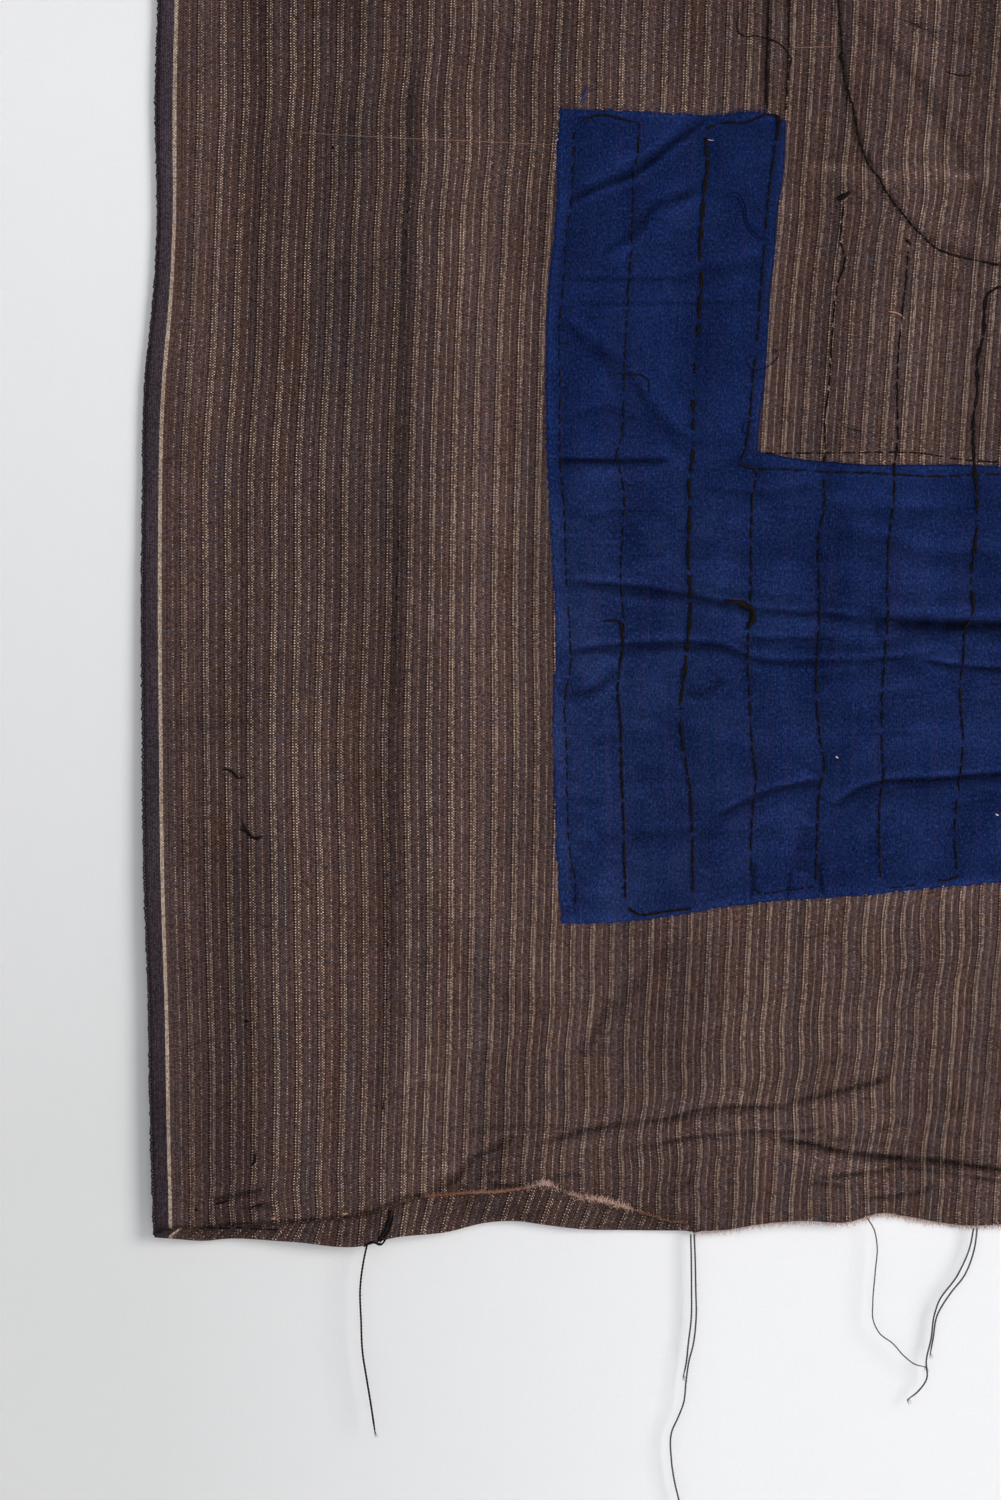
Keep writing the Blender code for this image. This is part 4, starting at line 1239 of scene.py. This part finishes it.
# Pitch, share of the pitch that is behind the cloth, thread radius, lift, dive and strands.
stitchStyles = {
    "thin": (5.2, 0.20, 0.27, 0.16, 0.7, 1), "plain": (6.4, 0.16, 0.34, 0.22, 0.7, 1),
    "firm": (7.0, 0.14, 0.41, 0.25, 0.8, 1), "double": (10.5, 0.15, 0.36, 0.30, 0.8, 2),
    "line": (60.0, 0.03, 0.36, 0.16, 0.7, 1), "short": (3.1, 0.13, 0.37, 0.16, 0.6, 1),
    "specks": (8.5, 0.80, 0.26, 0.10, 0.7, 1),
}
# Each run of stitches: its route, its style and where down the cloth it begins and ends.
stitchPlan = [
    ("row1", "thin", 0, 900), ("topArc12", "line", 0, 900), ("row2", "thin", 0, 398),
    ("row2", "firm", 397, 900), ("bottomArc23", "double", 0, 900), ("row3", "double", 0, 424),
    ("row3", "firm", 425, 900), ("topArc34", "double", 0, 900), ("row4", "plain", 0, 900),
    ("bottomArc45", "thin", 0, 900), ("row5", "plain", 0, 900), ("row6", "plain", 0, 900),
    ("row7", "double", 0, 392), ("row7", "plain", 391, 900), ("row7Tail", "plain", 0, 900),
    ("innerRow", "plain", 0, 900), ("innerLine", "thin", 0, 900), ("diagonal", "short", 0, 900),
    ("lineA", "line", 0, 900), ("lineB", "thin", 0, 900), ("hemStitches", "thin", 0, 900),
    ("bottomBit", "thin", 0, 900), ("streak", "specks", 0, 900),
]


def surfaceRoute(route, spacing, stand):
    line = smoothRoute(route, spacing)
    relief = frontRelief(line[:, 0], line[:, 1])
    return toWorld(line[:, 0], line[:, 1], relief + stand)


def sewRun(number, name, style, begin, end):
    # One run of stitches, in one strand or in two that cross now and then.
    pitch, gapShare, radius, lift, dive, strands = stitchStyles[style]
    stand = radius * 0.6 + (2 * cloth["turnRadius"] if name == "hemStitches" else 0.0)
    values = {"Pitch": pitch * mm, "Gap Share": gapShare, "Radius": radius * mm, "Lift": lift * mm,
              "Dive": dive * mm, "Seed": 3.7 * number, "Material": blackThread}
    line = surfaceRoute(sewingRows[name], 1.0, stand)
    line = line[(line[:, 2] < -begin * mm) & (line[:, 2] > -end * mm)]
    runs = []
    for strand in range(strands):
        beside = np.cos(np.arange(len(line)) / 2.6 + math.pi * strand) * 0.34 * mm * (strands - 1)
        lane = line.copy()
        lane[:, 0] += beside
        runs.append(growFrom(routeHost(f"{name}{begin}Strand{strand}", lane), runningStitch, values))
    return runs


sewingRuns = []
for number, run in enumerate(stitchPlan):
    sewingRuns += sewRun(number, *run)
sewing = joinPieces("runningStitches", sewingRuns)
print("running stitches sewn")


def edgeLoops(side, column, outward):
    # Down a selvedge as far as the turn of the hem.
    line = clothPoints[: -sum(hemRows.values()), column]
    return growFrom(routeHost(side + "Loops", line), weftLoops,
                    {"Spacing": 1.12 * mm, "Loop Radius": 0.42 * mm, "Thread Radius": 0.3 * mm,
                     "Outward": outward, "Material": darkLoops})


selvedgeLoops = joinPieces("selvedgeLoops", [edgeLoops("left", 0, 1.0), edgeLoops("right", -1, -1.0)])
print("selvedge loops made")


def fray(name, line, spacing, shortest, longest, heading, material, seed, spread, radius, scatter=0.25):
    return growFrom(routeHost(name, line), frayedEdge, {
        "Spacing": spacing * mm, "Shortest": shortest * mm, "Longest": longest * mm, "Spread": spread,
        "Radius": radius * mm, "Scatter": scatter * mm, "Heading": heading, "Seed": seed,
        "Material": material,
    })


rawEdge = clothPoints[-1]


def rawBetween(left, right):
    rawAcross = clothAcross[-1]
    return rawEdge[(rawAcross > left) & (rawAcross < right)]


# Fibres: name, edge, spacing, shortest, longest, heading, material, spread, radius, scatter.
down, up = (0.0, -0.1, -1.0), (0.0, -0.35, 0.9)
clothFringes = [
    ("freeFringe", rawBetween(181, 999), 0.26, 0.6, 2.0, down, pinkFray, 0.5, 0.09, 0.25),
    ("freeFluff", rawBetween(181, 999), 0.30, 0.4, 1.5, (0.0, -0.4, -1.0), brownFray, 0.9, 0.07, 0.25),
    ("longFringe", rawBetween(238, 262), 0.5, 1.5, 3.2, down, pinkFray, 0.6, 0.07, 0.25),
    ("hemRose", rawBetween(124, 136), 0.13, 0.6, 2.4, up, pinkFray, 0.9, 0.10, 0.5),
    ("hemRoseLow", rawBetween(124, 161), 0.17, 0.4, 1.7, (0.0, -0.5, -0.6), pinkFray, 0.9, 0.08, 0.5),
    ("hemPink", rawBetween(139, 162), 0.12, 0.6, 2.3, up, pinkFray, 0.9, 0.10, 0.5),
    ("hemPale", rawBetween(130, 134.5), 0.10, 1.0, 2.7, up, paleFray, 0.5, 0.13, 0.5),
    ("hemPaleLong", rawBetween(145, 159), 0.15, 0.8, 2.3, up, paleFray, 0.7, 0.12, 0.6),
    ("hemNeat", rawBetween(106, 124), 0.10, 0.3, 1.1, up, pinkFray, 0.6, 0.08, 0.3),
    ("hemRust", rawBetween(91, 126), 0.10, 0.5, 1.5, up, orangeFray, 0.9, 0.10, 0.4),
    ("hemRustTip", rawBetween(158, 180), 0.15, 0.3, 1.1, up, orangeFray, 0.7, 0.09, 0.3),
    ("hemSpark", rawBetween(74, 100), 0.32, 0.3, 1.0, up, orangeFray, 0.8, 0.07, 0.3),
    ("hemThin", rawBetween(3, 84), 0.35, 0.3, 1.0, up, brownFray, 0.8, 0.08, 0.3),
]
clothFrays = joinPieces("hemFrays", [
    fray(name, line, spacing, shortest, longest, heading, material, 31 + number, spread, radius, scatter)
    for number, (name, line, spacing, shortest, longest, heading, material, spread, radius, scatter)
    in enumerate(clothFringes)
])
armColumn, footRow = patch["columns"][0], patch["rows"][0]
patchFringes = [
    ("patchLeftFray", patchPoints[:, 0], 0.45, 0.4, 1.3, (-0.8, -0.5, 0.0)),
    ("patchTopFray", patchPoints[0, : armColumn + 1], 0.35, 0.4, 1.5, (0.0, -0.5, 0.8)),
    ("patchBottomFray", patchPoints[-1], 0.35, 0.4, 1.5, (0.0, -0.5, -0.8)),
    ("armRightFray", patchPoints[:footRow, armColumn], 0.30, 0.4, 1.9, (0.8, -0.5, 0.0)),
    ("innerFray", patchPoints[footRow, armColumn:], 0.45, 0.3, 1.1, (0.0, -0.5, 0.8)),
    ("arcFray", surfaceRoute([(193, 224.6), (206, 223.8)], 1.0, 0.2), 0.30, 0.8, 2.4, (0.0, -0.5, 0.8)),
]
patchFrays = joinPieces("patchFrays", [
    fray(name, line, spacing, shortest, longest, heading, blueFray, 41 + number, 0.65, 0.075)
    for number, (name, line, spacing, shortest, longest, heading) in enumerate(patchFringes)
])
print("raw edges frayed")


# Loose bits on the cloth: material, widest radius and route.
looseBits = [
    (blackThread, 0.30, [(196.4, 190.6), (195.8, 195), (196.4, 197.5), (198.3, 198.4), (202.2, 198.4),
                         (206.7, 199.6), (210, 201.2), (212.8, 204.4), (213.9, 207), (213.1, 209.4)]),
    (blackThread, 0.90, [(229.8, 205.0), (230.8, 208.0)]),
    (blackThread, 0.60, [(251.7, 267), (253.3, 268.7)]),
    (blackThread, 1.15, [(229.0, 253.4), (231, 252.4), (233.0, 250.9)]),
    (blackThread, 0.22, [(249, 193.3), (254, 195), (260, 197.7)]),
    (blackThread, 0.30, [(265, 210.7), (271, 212), (274, 211.6)]),
    (blackThread, 0.20, [(230.7, 329), (237.7, 331)]),
    (blackThread, 0.30, [(154, 310.7), (158.7, 311.7), (163.3, 311.7), (166, 313.3), (166.3, 317.7)]),
    (blackThread, 0.60, [(151.3, 393.7), (156.7, 394), (157.3, 397.3), (157.5, 401)]),
    (blackThread, 1.15, [(191.5, 387), (197.5, 388), (200.8, 390.5), (200.9, 393.5), (199, 396.3)]),
    (blackThread, 0.45, [(60.6, 235.4), (61.4, 236)]),
    (blackThread, 0.50, [(24, 443.3), (26, 443.2), (27.6, 444.2), (29.4, 446), (31.2, 445.8)]),
    (blackThread, 0.60, [(30, 463.2), (32.3, 464), (34.2, 466), (36.4, 466), (37.4, 465.4)]),
    (blackThread, 0.28, [(30.4, 459.8), (31.2, 462), (33.2, 464.8)]),
    (blackThread, 0.65, [(31.4, 527), (33, 527.4)]),
    (blackThread, 0.55, [(34.8, 571.4), (34.9, 573.4), (34.0, 575.2)]),
    (blackThread, 0.50, [(21.7, 588.2), (24, 587.8), (26, 587.0)]),
    (blackThread, 0.50, [(33.8, 589.3), (35.4, 588.6), (37.6, 588.3)]),
    (blackThread, 0.55, [(15.2, 589.6), (15.6, 590.6)]),
    (orangeFray, 0.20, [(245.8, 290.8), (249.3, 291.7), (251.3, 293.3)]),
    (orangeFray, 0.40, [(40.4, 592.9), (42, 592.6)]),
    (orangeFray, 0.40, [(64.4, 591.2), (66, 590.8)]),
    (brownFray, 0.13, [(46, 230.3), (79, 232.3), (106.7, 234), (134.3, 235)]),
    (brownFray, 0.12, [(214.3, 202.5), (228.3, 202.4)]),
    (darkBlue, 0.26, [(189.3, 252.3), (196.3, 251.3), (198.3, 255), (199, 260), (201.3, 264),
                      (206.7, 267)]),
    (darkBlue, 0.22, [(188.6, 253.2), (195.4, 252.4), (197.5, 256), (198.4, 261), (200.6, 264.8),
                      (205, 267)]),
    (blueFray, 0.35, [(146, 215.3), (144.7, 218.7), (143.3, 221.7)]),
    (darkBlue, 0.24, [(206.7, 302), (209.5, 304.5), (206.4, 308.5), (200.6, 309.6), (199, 306.5),
                      (203, 305)]),
    (darkBlue, 0.28, [(202, 327), (198, 328), (197.6, 330.2), (201, 331.7)]),
    (pinkFray, 0.30, [(228.4, 438.8), (229.2, 439.4)]),
    (pinkFray, 0.30, [(281.8, 458), (282.8, 458.5)]),
    (pinkFray, 0.10, [(185.8, 233), (188, 233.3)]),
]
# The bundle of thread that gathers the hem, in front of its turned-up flap.
bundle = [
    (0.80, [(80.3, 589.5), (79.8, 592.5), (78.6, 596), (76.4, 599.6)]),
    (0.40, [(81.4, 590), (80.8, 593), (79.4, 597), (76.8, 600.2)]),
    (0.50, [(71.4, 601.6), (74, 600.2), (77.4, 600.8), (78.8, 599)]),
]


# Loose thread tails: the cords

threadTails = {
    "thread_tail_left": {
        "diameter": 0.7, "material": blackThread, "slot": "black_thread",
        "route": [(72.4, 601.4, 0.0), (71.3, 606.6, 0.3), (70.2, 615.6, 0.9), (70.5, 626.4, 1.2),
                  (71.0, 637.0, 1.1), (72.3, 645.4, 0.8), (73.7, 654.0, 0.6), (75.2, 664.0, 0.6)],
    },
    "thread_tail_middle_right_ply": {
        "diameter": 0.6, "material": greyThread, "slot": "grey_thread",
        "route": [(181.4, 598.1, 0.0), (181.7, 605.4, 0.2), (181.9, 615.6, 0.4), (182.0, 626.4, 0.5),
                  (181.0, 635.0, 0.7), (179.6, 640.4, 0.8), (178.6, 647.6, 0.8), (177.9, 654.0, 0.6),
                  (175.8, 659.6, 0.4), (174.0, 663.6, 0.3), (173.8, 673.4, 0.2), (174.7, 679.8, 0.0),
                  (176.3, 686.8, -0.2), (178.0, 695.0, -0.2)],
    },
    "thread_tail_middle_left_ply": {
        "diameter": 0.6, "material": greyThread, "slot": "grey_thread",
        "route": [(180.2, 598.1, 0.0), (180.4, 605.4, -0.1), (180.5, 615.6, -0.3), (180.4, 626.4, -0.5),
                  (179.4, 635.0, -0.6), (178.7, 641.4, -0.6), (177.7, 645.8, -0.5)],
    },
    "thread_tail_thin": {
        "diameter": 0.45, "material": greyThread, "slot": "grey_thread",
        "route": [(239.0, 592.6, 0.2), (241.2, 596.2, 0.6), (242.2, 601.0, 0.9), (241.6, 610.8, 1.0),
                  (240.8, 621.0, 1.1), (240.9, 626.4, 1.3), (243.0, 630.8, 1.5), (247.4, 634.2, 1.7),
                  (251.2, 638.4, 1.8), (255.0, 641.2, 1.8), (258.6, 642.0, 1.8)],
    },
    "thread_tail_right_long_ply": {
        "diameter": 0.6, "material": greyThread, "slot": "grey_thread",
        "route": [(274.6, 596.2, 0.2), (273.4, 602.2, 0.4), (269.2, 611.8, 0.5), (262.8, 621.0, 0.5),
                  (261.4, 625.4, 0.5), (260.4, 633.0, 0.5), (258.8, 640.4, 0.5), (258.9, 646.4, 0.5),
                  (256.2, 650.4, 0.4), (252.4, 653.4, 0.4)],
    },
    "thread_tail_right_short_ply": {
        "diameter": 0.6, "material": greyThread, "slot": "grey_thread",
        "route": [(275.8, 596.2, 0.2), (275.0, 602.6, -0.2), (271.6, 612.0, -0.4), (266.8, 618.2, -0.5),
                  (262.4, 625.8, -0.6), (261.2, 633.0, -0.7), (260.2, 638.6, -0.8)],
    },
}


def wrapTube(name, line, radiusAt, sides, material):
    # A tube with its own section at each point, for twisted threads. line is in world points.
    line = np.asarray(line, float)
    count = len(line)
    ahead = np.gradient(line, axis=0)
    ahead /= np.linalg.norm(ahead, axis=1)[:, None]
    side = np.cross(ahead, (0.0, 1.0, 0.0))
    side /= np.linalg.norm(side, axis=1)[:, None]
    front = np.cross(side, ahead)
    travelled = np.concatenate([[0], np.cumsum(np.linalg.norm(np.diff(line, axis=0), axis=1))])
    angles = np.arange(sides) * 2 * math.pi / sides
    radii = radiusAt(travelled[:, None], angles[None, :])
    points = (
        line[:, None, :]
        + radii[..., None] * np.cos(angles)[None, :, None] * side[:, None, :]
        + radii[..., None] * np.sin(angles)[None, :, None] * front[:, None, :]
    )
    numbers = np.arange(count * sides).reshape(count, sides)
    following = np.roll(numbers, -1, axis=1)
    walls = np.stack([numbers[:-1], following[:-1], following[1:], numbers[1:]], axis=-1).reshape(-1, 4)
    faces = walls.tolist() + [numbers[0][::-1].tolist(), numbers[-1].tolist()]
    mesh = bpy.data.meshes.new(name)
    mesh.from_pydata(points.reshape(-1, 3).tolist(), [], faces)
    storeFloats(mesh, "alongThread", np.repeat(travelled, sides))
    storeFloats(mesh, "aroundThread", np.tile(angles / (2 * math.pi), count))
    mesh.shade_smooth()
    mesh.materials.append(material)
    return newObject(name, mesh)


def layBit(number, material, radius, route, stand):
    # A tapering bit of thread that lies on the surface. Its plies follow its own width.
    def lobes(travelled, angle):
        share = travelled / travelled.max()
        body = 0.35 + 0.65 * np.sin(math.pi * np.clip(share, 0.02, 0.98)) ** 0.5
        return radius * mm * body * (0.85 + 0.18 * np.cos(2 * angle - travelled / (0.9 * radius * mm)))

    line = surfaceRoute(route, 0.45, stand + 0.45 * radius)
    return wrapTube(f"looseBit{number}", line, lobes, 8, material)


bits = [layBit(number, *row, 0.0) for number, row in enumerate(looseBits)]
front = 2 * cloth["turnRadius"]
bits += [layBit(50 + number, blackThread, *row, front) for number, row in enumerate(bundle)]
looseThreads = joinPieces("looseThreads", bits)
print("loose bits laid")


def tailLine(tail, spacing):
    route = tail["route"]
    across, down, _ = route[0]
    relief = float(broadRelief(across, down)) + (cloth["turnRadius"] if hemShare(across) > 0.5 else 0.0)
    line = smoothRoute(route, spacing)
    return toWorld(line[:, 0], line[:, 1], line[:, 2] + relief)


def makeTail(name, tail):
    twist = 2 * math.pi / (3.2 * tail["diameter"] * mm)
    radius = tail["diameter"] / 2 * mm

    def lobes(travelled, angle):
        # Two plies twisted together, thinning out at the loose end
        lobe = np.abs(np.cos(angle - travelled * twist))
        thin = 1 - 0.35 * smoothStep((travelled - travelled.max() + 0.004) / 0.004)
        return radius * (0.74 + 0.28 * lobe) * thin

    line = tailLine(tail, 0.28)
    piece = wrapTube(name + "_visual", line, lobes, 10, tail["material"])
    fuzz, strands = (0.3, -0.3, -0.2), (0.1, 0.0, -1.0)
    ends = fray(name + "_fuzz", line[::3], 2.4, 0.5, 1.3, fuzz, tail["material"], 60, 1.0, 0.03, 0.1)
    tip = fray(name + "_tip", line[-4:], 0.12, 0.8, 2.0, strands, tail["material"], 61, 0.35, 0.07, 0.1)
    loose = joinPieces(name + "_fibres", [ends, tip])
    return piece, loose, line


tailPieces = {name: makeTail(name, tail) for name, tail in threadTails.items()}
print("thread tails hung")


# Camera, light and stage

photo = {"width": 1001, "height": 1500, "pixelsPerMm": 3.0, "leftPixel": 150.0, "topPixel": -560.0}


def makeCamera():
    look = {"lens": 85.0, "sensor": 36.0}
    data = bpy.data.cameras.new("photoCamera")
    data.lens = look["lens"]
    data.sensor_width = look["sensor"]
    data.sensor_fit = "AUTO"
    data.clip_start = 0.01
    data.clip_end = 50.0
    across = (photo["width"] / 2 - photo["leftPixel"]) / photo["pixelsPerMm"]
    down = (photo["height"] / 2 - photo["topPixel"]) / photo["pixelsPerMm"]
    target = toWorld(across, down, 0.0)
    distance = photo["height"] / photo["pixelsPerMm"] * mm * look["lens"] / look["sensor"]
    camera = newObject("photoCamera", data)
    camera.location = (target[0], target[1] - distance, target[2])
    camera.rotation_euler = (math.pi / 2, 0.0, 0.0)
    bpy.context.scene.camera = camera


def makeStagePlane(name, size, location, rotation, material):
    bpy.ops.mesh.primitive_plane_add(size=size, location=location, rotation=rotation)
    obj = bpy.context.active_object
    obj.name = name
    obj.data.materials.append(material)
    return obj


def makeStage():
    look = {"middleUp": 0.35, "floorDown": 1.15, "white": shade(238, 238, 240), "grey": shade(214, 214, 214)}
    wall = bpy.data.materials.new("paleWall")
    wall.use_nodes = True
    t = wall.node_tree
    shader = t.nodes["Principled BSDF"]
    shader.inputs["Roughness"].default_value = 0.9
    shader.inputs["Specular IOR Level"].default_value = 0.1
    place = addNode(t, "ShaderNodeTexCoord").outputs["Object"]
    soft = noiseOf(t, place, 900.0, 3.0)
    paint = mixColour(t, shareOf(t, soft, 0.3, 0.7, 0.25), look["white"], shade(228, 229, 232))
    # Painted shade: the backdrop is painted greyer to the lower left, where less light reaches it
    axes = axesOf(t, place)
    low = remap(t, axes[0], 0.02, -0.17, 0.0, 1.0)
    low = times(t, low, remap(t, axes[1], -0.56, -0.92, 0.0, 1.0))
    paint = mixColour(t, times(t, low, 0.9), paint, look["grey"])
    t.links.new(paint, shader.inputs["Base Color"])
    grain = addNode(t, "ShaderNodeBump", {"Strength": 0.15, "Distance": 0.0003, "Height": soft})
    t.links.new(grain.outputs[0], shader.inputs["Normal"])
    # Seen from behind, the backdrop lets the view through to the cloth's back
    clear = addNode(t, "ShaderNodeBsdfTransparent").outputs[0]
    behind = addNode(t, "ShaderNodeNewGeometry").outputs["Backfacing"]
    either = addNode(t, "ShaderNodeMixShader", {0: behind, 1: shader.outputs[0], 2: clear})
    t.links.new(either.outputs[0], t.nodes["Material Output"].inputs["Surface"])
    back = wallBack["near"] * mm - wallBack["lean"] * look["middleUp"]
    lean = math.pi / 2 + wallBack["lean"]
    backdrop = makeStagePlane("backdrop", 3.0, (0.0, back, look["middleUp"]), (lean, 0.0, 0.0), wall)
    backdrop.visible_shadow = False
    floor = bpy.data.materials.new("paleFloor")
    floor.use_nodes = True
    floorShader = floor.node_tree.nodes["Principled BSDF"]
    floorShader.inputs["Base Color"].default_value = shade(232, 232, 233)
    floorShader.inputs["Roughness"].default_value = 0.8
    makeStagePlane("floor", 8.0, (0.0, 0.0, -look["floorDown"]), (0.0, 0.0, 0.0), floor)


def makeLight(name, location, target, size, power, colour):
    data = bpy.data.lights.new(name, "AREA")
    data.shape = "DISK"
    data.size = size
    data.energy = power
    data.color = colour
    lamp = newObject(name, data)
    lamp.location = location
    direction = np.array(target, float) - np.array(location, float)
    direction /= np.linalg.norm(direction)
    lamp.rotation_euler = (math.acos(-direction[2]), 0.0, math.atan2(direction[0], -direction[1]) + math.pi)


def makeLights():
    # A tall window to the upper right, a soft room from the front, and a lamp for the back.
    middle = (0.0, 0.0, -0.4)
    makeLight("windowLight", (2.0, -2.0, 0.0), middle, 1.6, 58.0, (1.0, 0.99, 0.97))
    makeLight("roomLight", (-0.25, -2.1, -0.1), middle, 2.0, 13.5, (0.96, 0.98, 1.0))
    makeLight("backLight", (-1.2, 2.0, -0.1), middle, 1.2, 34.0, (1.0, 1.0, 1.0))
    world = bpy.data.worlds.new("paleStudio")
    world.use_nodes = True
    world.node_tree.nodes["Background"].inputs["Color"].default_value = (0.92, 0.95, 1.0, 1.0)
    world.node_tree.nodes["Background"].inputs["Strength"].default_value = 0.15
    bpy.context.scene.world = world


makeCamera()
makeStage()
makeLights()
bpy.context.scene.view_settings.view_transform = "Standard"
print("camera, stage and lights placed")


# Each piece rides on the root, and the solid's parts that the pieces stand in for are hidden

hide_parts("striped_cloth")
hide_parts("indigo_patch")
slots = {stripedCloth: "striped_cotton", indigoPatch: "indigo_cotton", sewing: "black_thread",
         looseThreads: "black_thread",
         selvedgeLoops: "striped_cotton", clothFrays: "striped_cotton", patchFrays: "indigo_cotton"}
for piece, slotName in slots.items():
    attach(piece, "root")
for name, (piece, loose, line) in tailPieces.items():
    for part in (piece, loose):
        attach(part, "root")
    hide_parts(name)
